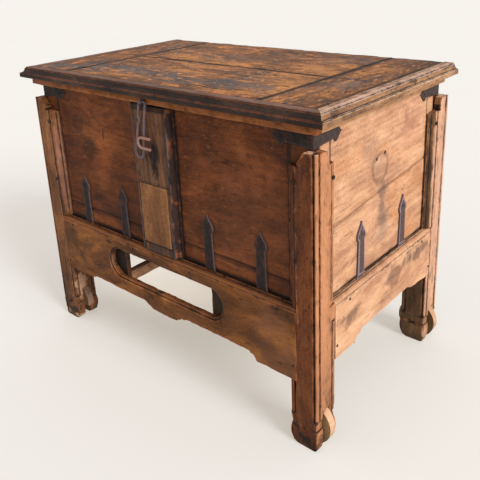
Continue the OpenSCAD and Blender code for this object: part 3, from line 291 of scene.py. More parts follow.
def iron(name, dark, light, rust, rust_amount=0.3, edge=0.22, lit_side=None):
    """Forged iron, hammered, with rubbed edges and rust, and a painted highlight on the edges that face
    the lamp at the right; lit_side is its lighter colour on the box's right, painted light.
    """
    f = Finish(name)
    hammer = f.cloud(f.at, 85.0, 3.0, 0.5)
    scale = f.cloud(f.at, 420.0, 4.0, 0.7)
    colour = f.mix(f.ease(hammer, 0.40, 0.80, 0.0, 0.12), dark, light)
    rusty = f.ease(f.cloud(f.at, 38.0, 6.0, 0.7, 0.5), 0.50, 0.66)
    colour = f.coat(colour, rusty, rust_amount, f.mix(scale, [c * 0.5 for c in rust], rust))
    rub = f.math("MULTIPLY", f.mark("edge"), f.ease(scale, 0.30, 0.60))
    colour = f.coat(colour, rub, edge, light)
    colour = f.mix(f.ease(scale, 0.62, 0.74, 0.0, 0.7), colour, [c * 0.3 for c in dark])
    # Painted highlight: rubbed edges that face the lamp at the right are lightened.
    bright = f.ease(f.mark("lit_side"), 0.15, 0.60)
    colour = f.coat(colour, bright, f.ease(scale, 0.25, 0.55, 0.2, 0.85), light)
    # Painted light: on the box's right side the iron takes the lighter lit_side colour.
    if lit_side:
        beside = f.ease(f.place(0), IRON_SIDE_X, IRON_SIDE_X + 0.001)
        colour = f.mix(beside, colour, f.shade(lit_side, hammer, scale))
    height = f.math("ADD", hammer, f.math("MULTIPLY", scale, 0.35))
    dull = f.math("ADD", f.math("MULTIPLY", scale, 0.3), 0.5)
    f.shader.inputs["Specular IOR Level"].default_value = 0.18
    return f.finish(colour, dull, height, relief=0.0009, strength=0.7)


# The worn pieces

def merged(node):
    """A CAD node's solid as one closed mesh with its flats whole."""
    bm = bmesh.new()
    bm.from_mesh(frame["nodes"][node].data)
    bmesh.ops.remove_doubles(bm, verts=bm.verts, dist=3e-6)
    bmesh.ops.dissolve_limit(bm, angle_limit=math.radians(0.4), use_dissolve_boundaries=False,
                             verts=bm.verts, edges=bm.edges)
    return bm


def corners(bm):
    """The lowest and the highest corner of a mesh."""
    xs, ys, zs = zip(*(v.co for v in bm.verts))
    return Vector((min(xs), min(ys), min(zs))), Vector((max(xs), max(ys), max(zs)))


def round_edges(bm, width, angle, shortest):
    """Rounds the edges that are sharper than angle and longer than shortest, and marks their faces."""
    mark = bm.faces.layers.int.new("rounded")
    limit = math.radians(angle)
    sharp = [e for e in bm.edges if len(e.link_faces) == 2 and e.calc_length() > shortest
             and e.calc_face_angle(0) > limit and e.is_convex]
    made = bmesh.ops.bevel(bm, geom=sharp, affect="EDGES", offset=width, offset_type="OFFSET",
                           segments=2, profile=0.5, material=-1, clamp_overlap=False)
    for face in made["faces"]:
        if face.is_valid:
            face[mark] = 1
    return mark


def slices(bm, steps, seed):
    """Cuts the faces at uneven steps along each axis, so that wear has something to move."""
    low, high = corners(bm)
    for axis, step in enumerate(steps):
        if not step:
            continue
        count = int((high[axis] - low[axis]) / step)
        way = Vector((axis == 0, axis == 1, axis == 2))
        for i in range(1, count + 1):
            place = low[axis] + step * (i - 0.5 + 0.35 * noise.noise(Vector((i * 1.7, seed, axis))))
            bmesh.ops.bisect_plane(bm, geom=bm.verts[:] + bm.edges[:] + bm.faces[:], dist=1e-6,
                                   plane_co=way * place, plane_no=way)


def near_to(points):
    """A search tree over points."""
    tree = kdtree.KDTree(len(points))
    for i, point in enumerate(points):
        tree.insert(point, i)
    tree.balance()
    return tree


def weather(bm, mark, wear, swell, reach, seed, dents=()):
    """Wears the edges inwards by up to wear, waves the faces by up to swell, and writes the attributes
    edge, 1 on a rounded edge, hollow, 1 in an inner corner, board, a number of the piece's own, and
    lit_side, which is edge on the faces turned to the lamp at the right alone, for a painted highlight.
    Edge and hollow fall to 0 within about reach."""
    bm.normal_update()
    edge = bm.verts.layers.float.new("edge")
    hollow = bm.verts.layers.float.new("hollow")
    board = bm.verts.layers.float.new("board")
    lit_side = bm.verts.layers.float.new("lit_side")
    worn = near_to([v.co.copy() for v in {v for f in bm.faces if f[mark] for v in f.verts}])
    inner = [e for e in bm.edges if len(e.link_faces) == 2 and not e.is_convex
             and e.calc_face_angle(0) > math.radians(20)]
    middles = [(e.verts[0].co + e.verts[1].co) / 2 for e in inner]
    dip = near_to(middles + [e.verts[0].co.copy() for e in inner])
    shift = Vector((seed * 7.3, seed * 3.1, seed * 5.7))
    moves = []
    for v in bm.verts:
        near = worn.find(v.co)[2]
        share = 0.0 if near is None else max(0.0, 1.0 - near / reach)
        near = dip.find(v.co)[2]
        v[edge] = share
        v[hollow] = 0.0 if near is None else max(0.0, 1.0 - near / (reach * 1.5))
        v[board] = seed * 0.37 % 1.0
        # lit_side: worn edges turned to the lamp at the right, which iron() lightens as a painted
        # highlight.
        v[lit_side] = share * max(0.0, v.normal.x)
        slow = noise.noise(v.co * 14.0 + shift)
        quick = noise.noise(v.co * 75.0 + shift)
        depth = wear * share * max(0.0, 0.3 + 1.1 * slow + 0.9 * quick)
        depth += swell * (0.5 + 0.5 * noise.noise(v.co * 22.0 - shift))
        for centre, radius, deep in dents:
            away = (v.co - Vector(centre)).length / radius
            if away < 1.0:
                depth += deep * (1.0 - away * away) * (0.75 + 0.5 * quick)
        moves.append(v.normal * depth)
    for v, move in zip(bm.verts, moves):
        v.co -= move


def round_foot(bm, centre):
    """Rounds the lower end of a leg like a drum about its wheel, most on the side towards the middle of
    the trunk, and fills the notch over it but for a nick at the sides. The slot keeps its width."""
    flush = LEG_HALF - NOTCH_D - 0.001
    for v in bm.verts:
        if v.co.z >= FOOT_H:
            continue
        x, y = v.co.x - centre[0], v.co.y - centre[1]
        if abs(y) > flush and abs(x) < LEG_HALF:
            y = math.copysign(max(abs(y), LEG_HALF - 0.0003), y)
        if abs(x) > flush:
            x = math.copysign(max(abs(x), LEG_HALF - NICK_D), x)
        drop = max(0.0, 1.0 - v.co.z / FOOT_R)
        curve = 1.0 - math.sqrt(1.0 - drop * drop)
        swell = max(0.0, 1.0 - ((v.co.z - DRUM_Z) / DRUM_REACH) ** 2)
        draw = DRUM_INNER_DRAW if x * centre[0] < 0 else DRUM_DRAW
        v.co.x = centre[0] + x * (1.0 + DRUM_SWELL * swell - draw * curve)
        if abs(y) > SLOT_HALF:
            spread = 1.0 + DRUM_SWELL * swell - DRUM_DRAW * curve
            v.co.y = centre[1] + math.copysign(SLOT_HALF + (abs(y) - SLOT_HALF) * spread, y)
    notch = [v for v in bm.verts if FOOT_H - NOTCH_H < v.co.z < FOOT_H + 0.004]
    bmesh.ops.remove_doubles(bm, verts=notch, dist=0.0005)


def narrow_bead(bm, centre):
    """Draws the groove of the outer corner's bead nearer to the corner, as seen from the front."""
    out = math.copysign(1.0, centre[0])
    inner = LEG_HALF - BEAD_W
    moved = LEG_HALF - BEAD_W * BEAD_SHARE
    for v in bm.verts:
        x = (v.co.x - centre[0]) * out
        if 0.0 < x <= inner:
            x *= moved / inner
        elif x > inner:
            x = LEG_HALF - (LEG_HALF - x) * BEAD_SHARE
        v.co.x = centre[0] + x * out


def make_piece(bm, node, material):
    """Turns a mesh into the piece that stands for a CAD node and rides on its body."""
    mesh = bpy.data.meshes.new(node + "_worn")
    bm.to_mesh(mesh)
    bm.free()
    mesh.shade_smooth()
    mesh.set_sharp_from_angle(angle=math.radians(32.0))
    mesh.materials.append(material)
    piece = bpy.data.objects.new(node + "_worn", mesh)
    bpy.context.scene.collection.objects.link(piece)
    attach(piece, BODY[node])
    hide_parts(node)
    return piece


def worn_copy(node, material, seed, width=EDGE_ROUND, steps=(0, 0, 0), wear=EDGE_WEAR, swell=0.0003,
              reach=0.004, dents=(), sharp=38.0, shortest=0.004, foot=None):
    """The worn, rounded piece that stands for one CAD node; foot is the middle of a leg's foot."""
    bm = merged(node)
    looks = bpy.context.scene.trunk_wear
    width *= looks.edge_round / EDGE_ROUND
    wear *= looks.edge_wear / EDGE_WEAR
    if foot:
        narrow_bead(bm, foot)
    mark = round_edges(bm, width, sharp, shortest)
    slices(bm, steps, seed)
    if foot:
        round_foot(bm, foot)
    weather(bm, mark, wear, swell, reach, seed, dents)
    return make_piece(bm, node, material)


def worn_copies(nodes, material, seed, **how):
    """Like pieces, each with wear of its own."""
    for i, node in enumerate(nodes):
        worn_copy(node, material, seed + i, **how)


def paint(nodes, material):
    """Gives its material to CAD nodes that stay in sight."""
    for node in nodes:
        frame["nodes"][node].data.materials.clear()
        frame["nodes"][node].data.materials.append(material)


# The sizes and colours

def colour_prop(name, text, rgb):
    return bpy.props.FloatVectorProperty(name=name, description=text, default=srgb(*rgb), min=0.0,
                                         max=1.0, size=3, subtype="COLOR")


class TrunkWear(bpy.types.PropertyGroup):
    """How far the trunk's edges are worn."""
    edge_round: bpy.props.FloatProperty(
        name="Edge rounding", description="Radius of a board's rounded edges", default=EDGE_ROUND,
        min=0.0003, max=0.004, subtype="DISTANCE", unit="LENGTH")
    edge_wear: bpy.props.FloatProperty(
        name="Edge wear", description="Depth of the dents along worn edges", default=EDGE_WEAR,
        min=0.0, max=0.004, subtype="DISTANCE", unit="LENGTH")


class TrunkColours(bpy.types.PropertyGroup):
    """The main colours of the trunk's wood and iron."""
    brown_dark: colour_prop("Brown, dark", "Darkest tone of the front's wood", (54, 28, 15))
    brown_mid: colour_prop("Brown, middle", "Middle tone of the front's wood", (98, 52, 26))
    brown_light: colour_prop("Brown, light", "Lightest tone of the front's wood", (138, 80, 40))
    # The tan tones are paler than the brown partly as the paler wood of the right side and partly as
    # painted light from the lamp at the right.
    tan_dark: colour_prop("Tan, dark", "Darkest tone of the side's wood", (158, 114, 88))
    tan_mid: colour_prop("Tan, middle", "Middle tone of the side's wood", (194, 148, 115))
    tan_light: colour_prop("Tan, light", "Lightest tone of the side's wood", (210, 169, 137))
    worn: colour_prop("Worn edge", "Bare wood on rubbed edges", (168, 104, 62))
    pale: colour_prop("Pale edge", "Bare pale wood on rubbed edges of lid and legs", (222, 180, 148))
    # dirt_and_shade is also the colour of the painted shade bands along joints, under the lid's lip and
    # at the floor.
    dirt_and_shade: colour_prop("Dirt", "Dirt in the grooves and inner corners", (26, 18, 16))
    iron_dark: colour_prop("Iron, dark", "Darkest tone of the iron", (28, 20, 18))
    iron_light: colour_prop("Iron, light", "Rubbed tone of the iron", (94, 82, 86))
    rust: colour_prop("Rust", "Rust on the iron", (110, 60, 34))


def camera_turn(yaw, pitch, roll):
    """The turn of a camera that looks along yaw and pitch, leaning by roll, all in degrees."""
    yaw, pitch, roll = (math.radians(a) for a in (yaw, pitch, roll))
    ahead = Vector((-math.sin(yaw) * math.cos(pitch), math.cos(yaw) * math.cos(pitch), math.sin(pitch)))
    right = Vector((math.cos(yaw), math.sin(yaw), 0.0))
    up = right.cross(ahead)
    side = right * math.cos(roll) + up * math.sin(roll)
    top = up * math.cos(roll) - right * math.sin(roll)
    return Matrix((side, top, -ahead)).transposed().to_euler()


class TRUNK_OT_stage(bpy.types.Operator):
    """Makes the pale floor, the soft studio light and the camera"""
    bl_idname = "trunk.stage"
    bl_label = "Stage"
    bl_options = {"REGISTER", "UNDO"}

    def execute(self, context):
        scene = context.scene
        scene.view_settings.view_transform = "Standard"
        scene.view_settings.look = "None"
        bm = bmesh.new()
        bmesh.ops.create_grid(bm, x_segments=4, y_segments=4, size=60.0)
        mesh = bpy.data.meshes.new("floor")
        bm.to_mesh(mesh)
        bm.free()
        f = Finish("floor_paper")
        f.shader.inputs["Specular IOR Level"].default_value = 0.0
        f.shader.inputs["Emission Color"].default_value = (0.98, 0.87, 0.73, 1.0)
        # Painted light: a soft patch of stronger glow under the chest lightens the floor's shadow
        # there.
        below = f.spot((-0.42, 0.05, 0.0), (0.50, 0.26, 1.0), 0.0, 0.85)
        glow = f.math("ADD", f.math("MULTIPLY", below, 0.22), 0.44)
        f.feed(f.shader.inputs["Emission Strength"], glow)
        tone = f.cloud(f.at, 1.2, 2.0)
        mesh.materials.append(f.finish(f.mix(tone, (0.338, 0.359, 0.388), (0.354, 0.375, 0.404)), 0.9))
        floor = bpy.data.objects.new("floor", mesh)
        scene.collection.objects.link(floor)
        world = bpy.data.worlds.new("studio")
        world.use_nodes = True
        back = world.node_tree.nodes["Background"]
        back.inputs["Color"].default_value = (*srgb(248, 245, 240), 1.0)
        back.inputs["Strength"].default_value = 0.97
        scene.world = world
        light = bpy.data.lights.new("key", "SUN")
        light.energy = 3.3
        light.angle = math.radians(24.0)
        light.color = (1.0, 0.96, 0.90)
        lamp = bpy.data.objects.new("key", light)
        lamp.rotation_euler = Vector(SUN_FROM).to_track_quat("Z", "Y").to_euler()
        scene.collection.objects.link(lamp)
        camera = bpy.data.cameras.new("camera")
        camera.sensor_width = 36.0
        camera.lens = FOCAL_PX / FRAME_PX * camera.sensor_width
        camera.shift_y = (MIDDLE_ROW - FRAME_PX / 2) / FRAME_PX
        camera.clip_start = 0.05
        camera.clip_end = 100.0
        eye = bpy.data.objects.new("camera", camera)
        scene.collection.objects.link(eye)
        eye.location = EYE
        eye.rotation_euler = camera_turn(*EYE_TURN)
        scene.camera = eye
        return {"FINISHED"}


class TRUNK_OT_stand(bpy.types.Operator):
    """Makes the legs and the rails of the stand"""
    bl_idname = "trunk.stand"
    bl_label = "Legs and rails"
    bl_options = {"REGISTER", "UNDO"}

    def execute(self, context):
        c = context.scene.trunk_colours
        brown = (c.brown_dark[:], c.brown_mid[:], c.brown_light[:])
        smudge = (srgb(46, 27, 20), 9.0, 0.54, 0.66, 0.6)
        haze = (srgb(128, 104, 92), 6.0, 0.53, 0.66, 0.4)
        # bare is the tan of the right legs' outer faces, partly paler wood and partly painted light
        # from the lamp at the right.
        bare = srgb(174, 121, 87)
        crumb = (srgb(36, 24, 20), 55.0, 0.60, 0.66, 0.6)
        ash = (srgb(96, 68, 54), 46.0, 0.55, 0.63, 0.5)
        rot = srgb(40, 30, 28)
        rotten = [((0.472, FRONT_Y, 0.060), (0.016, 0.03, 0.015), rot, 0.9, 0.7, 0.4, 0.0, 60.0),
                  ((0.506, FRONT_Y, 0.026), (0.026, 0.03, 0.016), rot, 0.9, 0.8, 0.4, 0.0, 60.0),
                  ((0.528, FRONT_Y, 0.087), (0.012, 0.03, 0.003), srgb(98, 92, 96), 0.9, 0.3, 0.4, 0.0,
                   60.0),
                  ((SIDE_X, -0.27, 0.10), (0.02, 0.03, 0.09), srgb(110, 70, 50), 0.6, 0.8, 0.7, 0.0,
                   34.0),
                  ((SIDE_X, -0.30, 0.03), (0.02, 0.03, 0.03), srgb(90, 60, 46), 0.7, 0.8, 0.7, 0.0,
                   50.0),
                  ((SIDE_X, -0.265, 0.50), (0.02, 0.02, 0.20), srgb(132, 86, 60), 0.45, 0.8, 0.8, 0.0,
                   30.0)]
        # Each leg's shadows band darkens it towards the floor: dirt and painted shade.
        leg = wood("leg_wood", srgb(50, 24, 14), srgb(84, 44, 24), srgb(120, 68, 36), axis="Z",
                   mottle=8.0, worn=c.worn[:], wear=0.45, dirt_and_shade=c.dirt_and_shade[:], dirt_amount=0.9, gloss=0.12,
                   stains=[smudge], flecks=[crumb, ash], patches=rotten, shadows=[(2, 0.0, 0.05, 0.4)],
                   layers=[(0, 0.5335, 0.5390, bare, 0.85), (2, 0.7885, 0.7895, c.pale[:], 0.7)])
        chip = srgb(206, 166, 136)
        split = [((-0.488, FRONT_Y, 0.030), (0.026, 0.03, 0.016), rot, 0.85, 0.8, 0.4, 0.0, 60.0),
                 ((-0.514, FRONT_Y, 0.058), (0.020, 0.03, 0.012), rot, 0.8, 0.8, 0.4, 0.0, 60.0),
                 ((-0.470, FRONT_Y, 0.012), (0.014, 0.03, 0.010), chip, 0.8, 0.8, 0.4, 0.0, 60.0),
                 ((-0.520, FRONT_Y, 0.016), (0.012, 0.03, 0.010), chip, 0.6, 0.8, 0.4, 0.0, 60.0),
                 ((-0.500, FRONT_Y, 0.15), (0.005, 0.03, 0.07), rot, 0.8, 0.5, 0.4, 0.0, 60.0),
                 ((-0.461, -0.30, 0.13), (0.02, 0.03, 0.06), chip, 0.5, 0.8, 0.5, 0.0, 40.0),
                 ((-0.458, FRONT_Y, 0.59), (0.017, 0.06, 0.22), srgb(164, 114, 94), 0.6, 0.3, 0.4),
                 ((-0.462, FRONT_Y, 0.778), (0.018, 0.06, 0.016), srgb(168, 130, 110), 0.7, 0.2, 0.4)]
        rosy = wood("left_leg_wood", srgb(66, 40, 22), srgb(116, 73, 42), srgb(160, 106, 66), axis="Z",
                    mottle=12.0, worn=srgb(164, 116, 90), wear=0.4, dirt_and_shade=c.dirt_and_shade[:], dirt_amount=0.8,
                    stains=[smudge], flecks=[crumb, ash], patches=split, shadows=[(2, 0.0, 0.05, 0.4)])
        # The rear right leg's outer face takes a tan layer, partly painted light from the lamp at the
        # right.
        olive = wood("rear_leg_wood", srgb(52, 38, 26), srgb(94, 68, 46), srgb(134, 100, 68), axis="Z",
                     worn=c.worn[:], wear=0.5, dirt_and_shade=c.dirt_and_shade[:], dirt_amount=0.9, flecks=[crumb, ash],
                     stains=[(srgb(84, 78, 76), 10.0, 0.54, 0.64, 0.6)], shadows=[(2, 0.0, 0.05, 0.5)],
                     layers=[(0, 0.5335, 0.5390, srgb(194, 150, 124), 0.85),
                             (2, 0.7885, 0.7895, c.pale[:], 0.7)])
        places = (("leg_front_left", -1, -1, rosy), ("leg_front_right", 1, -1, leg),
                  ("leg_rear_left", -1, 1, rosy), ("leg_rear_right", 1, 1, olive))
        for i, (node, right, rear, finish) in enumerate(places):
            x, y = right * LEG_X, rear * LEG_Y + MIDDLE_Y
            outer, inner = x + right * LEG_HALF, x - right * LEG_HALF
            face, back = y + rear * LEG_HALF, y - rear * LEG_HALF
            worn_copy(node, finish, 2.0 + i, width=0.0012, steps=(0.013, 0.013, 0.011), wear=0.0020,
                      shortest=0.012, foot=(x, y),
                      dents=[((outer, face, 0.03), 0.03, 0.006), ((inner, face, 0.05), 0.025, 0.005),
                             ((inner, face, 0.775), 0.012, 0.004), ((outer, back, 0.08), 0.02, 0.004)])
        umber = (srgb(58, 34, 16), srgb(106, 63, 29), srgb(150, 95, 46))
        # Painted shade: near black on the inner faces of the wheel slot.
        slot_shade = (1, -0.3205, -0.3170, srgb(24, 17, 13), 0.95)
        # The first entry is a blue-grey patch on the slot's left bead, partly worn wood and partly a
        # painted highlight; the rest are dark spots and changes of tone.
        rail_spots_and_highlight = [((-0.237, FRONT_Y, 0.305), (0.007, 0.02, 0.040), srgb(136, 114, 112), 0.7, 0.2, 0.5),
                 ((0.118, FRONT_Y, 0.262), (0.022, 0.03, 0.012), srgb(40, 26, 22), 0.85, 0.5, 0.5),
                 ((-0.236, FRONT_Y, 0.366), (0.016, 0.03, 0.006), srgb(40, 26, 22), 0.8, 0.5, 0.5),
                 ((0.40, FRONT_Y, 0.31), (0.10, 0.03, 0.09), srgb(132, 86, 60), 0.55, 0.7, 0.9),
                 ((0.34, FRONT_Y, 0.27), (0.03, 0.03, 0.04), srgb(58, 40, 28), 0.4, 0.8, 0.8),
                 ((-0.42, FRONT_Y, 0.31), (0.12, 0.03, 0.06), srgb(64, 38, 18), 0.7, 0.8, 0.8),
                 ((0.44, FRONT_Y, 0.220), (0.12, 0.03, 0.06), srgb(94, 60, 40), 0.85, 0.5, 0.6)]
        # The RAIL_TOP shadows band on each rail is dirt and painted shade where the box's walls stand
        # on it.
        rail = wood("rail_wood", *umber, axis="X", worn=c.worn[:], wear=0.45, dirt_and_shade=c.dirt_and_shade[:],
                    dirt_amount=0.8, stains=[smudge], patches=rail_spots_and_highlight, flecks=[crumb],
                    shadows=[(2, RAIL_TOP, 0.008, 0.95)],
                    layers=[slot_shade, (2, 0.3795, 0.3830, srgb(124, 76, 44), 0.7)])
        rear = wood("rear_rail_wood", *umber, axis="X", worn=c.worn[:], wear=0.45, dirt_and_shade=c.dirt_and_shade[:],
                    dirt_amount=0.8, stains=[smudge, haze], flecks=[crumb],
                    shadows=[(2, RAIL_TOP, 0.008, 0.95)])
        for i, (node, finish) in enumerate((("rail_front", rail), ("rail_rear", rear))):
            worn_copy(node, finish, 7.0 + i, steps=(0.012, 0, 0.014), wear=0.002, shortest=0.006)
        grime = [((SIDE_X, 0.150, 0.350), (0.02, 0.060, 0.030), srgb(84, 66, 58), 0.85, 0.8, 0.7),
                 ((SIDE_X, 0.052, 0.335), (0.02, 0.055, 0.040), srgb(90, 70, 60), 0.8, 0.8, 0.7),
                 ((SIDE_X, 0.215, 0.356), (0.02, 0.040, 0.022), srgb(96, 74, 64), 0.7, 0.8, 0.7),
                 ((SIDE_X, -0.179, 0.325), (0.02, 0.050, 0.030), srgb(112, 84, 66), 0.7, 0.8, 0.7),
                 ((SIDE_X, 0.10, 0.30), (0.02, 0.16, 0.07), srgb(160, 112, 84), 0.55, 0.7, 0.9),
                 ((SIDE_X, -0.05, 0.37), (0.02, 0.12, 0.03), srgb(150, 104, 78), 0.5, 0.7, 0.9)]
        # The right rail takes the tan tones, partly painted light from the lamp at the right.
        side = wood("side_rail_wood", c.tan_dark[:], c.tan_mid[:], c.tan_light[:], axis="Y",
                    worn=c.pale[:], wear=0.5, dirt_and_shade=c.dirt_and_shade[:], stains=[haze], patches=grime,
                    flecks=[(*ash[:4], 0.3)], shadows=[(2, RAIL_TOP, 0.006, 0.9)])
        left = wood("left_rail_wood", *brown, axis="Y", worn=c.worn[:], wear=0.45, dirt_and_shade=c.dirt_and_shade[:],
                    stains=[smudge], shadows=[(2, RAIL_TOP, 0.006, 0.9)])
        for i, (node, finish) in enumerate((("rail_left", left), ("rail_right", side))):
            worn_copy(node, finish, 9.0 + i, steps=(0, 0.012, 0.014), wear=0.002, shortest=0.006)
        return {"FINISHED"}


class TRUNK_OT_box(bpy.types.Operator):
    """Makes the box of boards, its floor and the front post"""
    bl_idname = "trunk.box"
    bl_label = "Box"
    bl_options = {"REGISTER", "UNDO"}

    def execute(self, context):
        c = context.scene.trunk_colours
        brown = (c.brown_dark[:], c.brown_mid[:], c.brown_light[:])
        tan = (c.tan_dark[:], c.tan_mid[:], c.tan_light[:])
        smudge = (srgb(52, 30, 20), 5.0, 0.52, 0.68, 0.55)
        glow = (srgb(140, 72, 30), 3.5, 0.52, 0.68, 0.5)
        haze = (srgb(150, 112, 86), 5.0, 0.54, 0.66, 0.5)
        # Bands of dirt and painted shade along the rails, under the lid's lip, and beside the legs and
        # the post.
        across = [(2, RAIL_TOP, 0.017, 1.0), (2, LIP_FOOT, 0.012, 0.7), (0, 0.450, 0.010, 0.8),
                  (0, -0.450, 0.010, 0.8)]
        beside = [(0, 0.0825, 0.010, 0.8), (0, -0.0825, 0.010, 0.8)]
        ends = [(2, RAIL_TOP, 0.010, 1.0), (2, LIP_FOOT, 0.006, 0.6), (1, 0.256, 0.006, 0.8),
                (1, -0.234, 0.006, 0.8)]
        face = -0.311 + MIDDLE_Y  # front of the boards
        wall = 0.516  # their right side
        soot = srgb(48, 30, 21)
        fire = srgb(136, 72, 36)
        ghosts = [((-0.357, face, 0.7216), (0.036, 0.015, 0.033), soot, 0.55),
                  ((-0.306, face, 0.652), (0.052, 0.015, 0.042), soot, 0.45),
                  ((-0.2345, face, 0.7045), (0.004, 0.015, 0.019), srgb(24, 18, 20), 0.9, 0.0, 0.3),
                  ((-0.2484, face, 0.634), (0.05, 0.015, 0.085), fire, 0.4),
                  ((0.165, face, 0.650), (0.09, 0.015, 0.11), fire, 0.3, 0.5, 0.8),
                  ((0.31, face, 0.58), (0.24, 0.015, 0.22), srgb(122, 72, 46), 0.45, 0.5, 0.9)]
        pepper = [(srgb(52, 30, 22), 85.0, 0.54, 0.62, 0.45),
                  (srgb(142, 88, 52), 75.0, 0.60, 0.66, 0.4)]
        front = wood("front_board_wood", *brown, axis="X", dirt_and_shade=c.dirt_and_shade[:], edge_dirt=0.5, flecks=pepper,
                     stains=[glow, smudge], shadows=across + beside, gloss=0.12, patches=ghosts)
        left = wood("left_board_wood", *brown, axis="Y", dirt_and_shade=c.dirt_and_shade[:], edge_dirt=0.5,
                    stains=[glow, smudge], shadows=ends)
        ash = srgb(134, 106, 92)
        marks = [((wall, -0.045, 0.71), (0.015, 0.07, 0.05), ash, 0.45, 0.6, 0.8),
                 ((wall, 0.018, 0.565), (0.015, 0.034, 0.085), srgb(112, 88, 78), 0.75, 0.8, 0.8),
                 ((wall, 0.17, 0.74), (0.015, 0.10, 0.12), srgb(190, 138, 112), 0.5, 0.5, 0.9),
                 ((wall, 0.015, 0.49), (0.015, 0.06, 0.06), ash, 0.5, 0.7, 0.8),
                 ((wall, 0.0, 0.664), (0.015, 0.041, 0.040), srgb(122, 88, 72), 0.65, 0.2, 0.9, 0.30),
                 ((wall, 0.0, 0.664), (0.015, 0.045, 0.042), ash, 0.35, 0.3, 0.5),
                 ((wall, -0.019, 0.692), (0.015, 0.0055, 0.006), c.dirt_and_shade[:], 1.0, 0.0, 0.3),
                 ((wall, 0.023, 0.699), (0.015, 0.0055, 0.006), c.dirt_and_shade[:], 1.0, 0.0, 0.3)]
        # The right side's boards take the tan tones, partly painted light from the lamp at the right.
        side = wood("side_board_wood", *tan, axis="Y", dirt_and_shade=c.dirt_and_shade[:], edge_dirt=0.25, figure=0.05,
                    mottle=20.0, grit=0.24, shadows=ends, patches=marks,
                    stains=[haze, (srgb(188, 124, 76), 4.0, 0.48, 0.64, 0.5)],
                    flecks=[(srgb(128, 92, 72), 60.0, 0.56, 0.64, 0.35)])
        rear = wood("rear_board_wood", *brown, axis="X", dirt_and_shade=c.dirt_and_shade[:], edge_dirt=0.5, flecks=pepper,
                    stains=[glow, smudge], shadows=across, gloss=0.12)
        for name, finish, seed, steps in (("front", front, 12.0, (0.014, 0, 0.012)),
                                          ("rear", rear, 14.0, (0.014, 0, 0.012)),
                                          ("left", left, 17.0, (0, 0.014, 0.012)),
                                          ("right", side, 19.0, (0, 0.014, 0.012))):
            boards = ("box_" + name + "_lower", "box_" + name + "_upper")
            worn_copies(boards, finish, seed, steps=steps, wear=0.0008)
        old = wood("old_wood", srgb(52, 34, 22), srgb(96, 64, 42), srgb(130, 92, 62), axis="X",
                   worn=c.worn[:], dirt_and_shade=c.dirt_and_shade[:])
        worn_copies(("floor_front", "floor_middle", "floor_rear"), old, 22.0, steps=(0.04, 0.04, 0),
                    wear=0.0008)
        runner = wood("runner_wood", srgb(80, 46, 28), srgb(150, 98, 62), srgb(196, 140, 96), axis="Y",
                      worn=c.pale[:])
        worn_copy("runners", runner, 26.0, steps=(0, 0.02, 0))
        sooty = wood("hanger_wood", srgb(20, 14, 11), srgb(36, 25, 18), srgb(58, 40, 28), axis="Z",
                     worn=srgb(112, 74, 50), wear=0.6)
        worn_copy("hangers", sooty, 27.0, steps=(0.02, 0, 0.02))
        # fillet_highlight is a blue-grey painted highlight on the fillets of the post's mouldings.
        fillet_highlight = srgb(118, 110, 116)
        strip = srgb(98, 56, 34)
        black = srgb(40, 28, 24)
        bands = [(2, 0.4540, 0.4440, srgb(54, 40, 34), 0.85)]
        for way in (1, -1):
            bands += [(0, way * 0.0620, way * 0.0630, fillet_highlight, 0.6),
                      (0, way * 0.0680, way * 0.0690, strip, 0.9),
                      (0, way * 0.0755, way * 0.0765, black, 0.9)]
        # Painted shade: a dark band across the top of the post, under the lid's lip.
        bands.append((2, 0.812, 0.816, black, 0.85))
        moulding = ((0.0740, FRONT_Y, 0.60), (0.010, 0.05, 0.40))
        burnt = [((0.015, FRONT_Y, 0.680), (0.028, 0.05, 0.06), srgb(22, 18, 20), 0.95, 0.5, 0.6),
                 (*moulding, srgb(140, 80, 48), 0.8, 0.9, 0.5, 0.0, 34.0),
                 (*moulding, srgb(34, 28, 30), 0.9, 0.9, 0.5, 0.0, 26.0)]
        post = wood("post_wood", srgb(62, 42, 29), srgb(108, 73, 50), srgb(148, 104, 70), axis="Z",
                    figure=0.05, dirt_and_shade=c.dirt_and_shade[:], edge_dirt=0.35, layers=bands, patches=burnt,
                    stains=[(black, 12.0, 0.56, 0.66, 0.6)],
                    flecks=[(black, 45.0, 0.58, 0.64, 0.6), (srgb(140, 84, 46), 38.0, 0.62, 0.67, 0.6)])
        worn_copy("post_front", post, 28.0, width=0.0012, steps=(0.02, 0, 0.012))
        gold = wood("patch_wood", srgb(80, 50, 30), srgb(121, 80, 49), srgb(158, 110, 68), axis="Z",
                    worn=srgb(164, 122, 80), wear=0.3, dirt_and_shade=c.dirt_and_shade[:], streaks=0.14, grit=0.3,
                    stains=[(black, 26.0, 0.63, 0.68, 0.8), (srgb(86, 60, 44), 7.0, 0.52, 0.64, 0.5)])
        worn_copy("post_patch", gold, 29.0, steps=(0.012, 0, 0.012), wear=0.001)
        return {"FINISHED"}


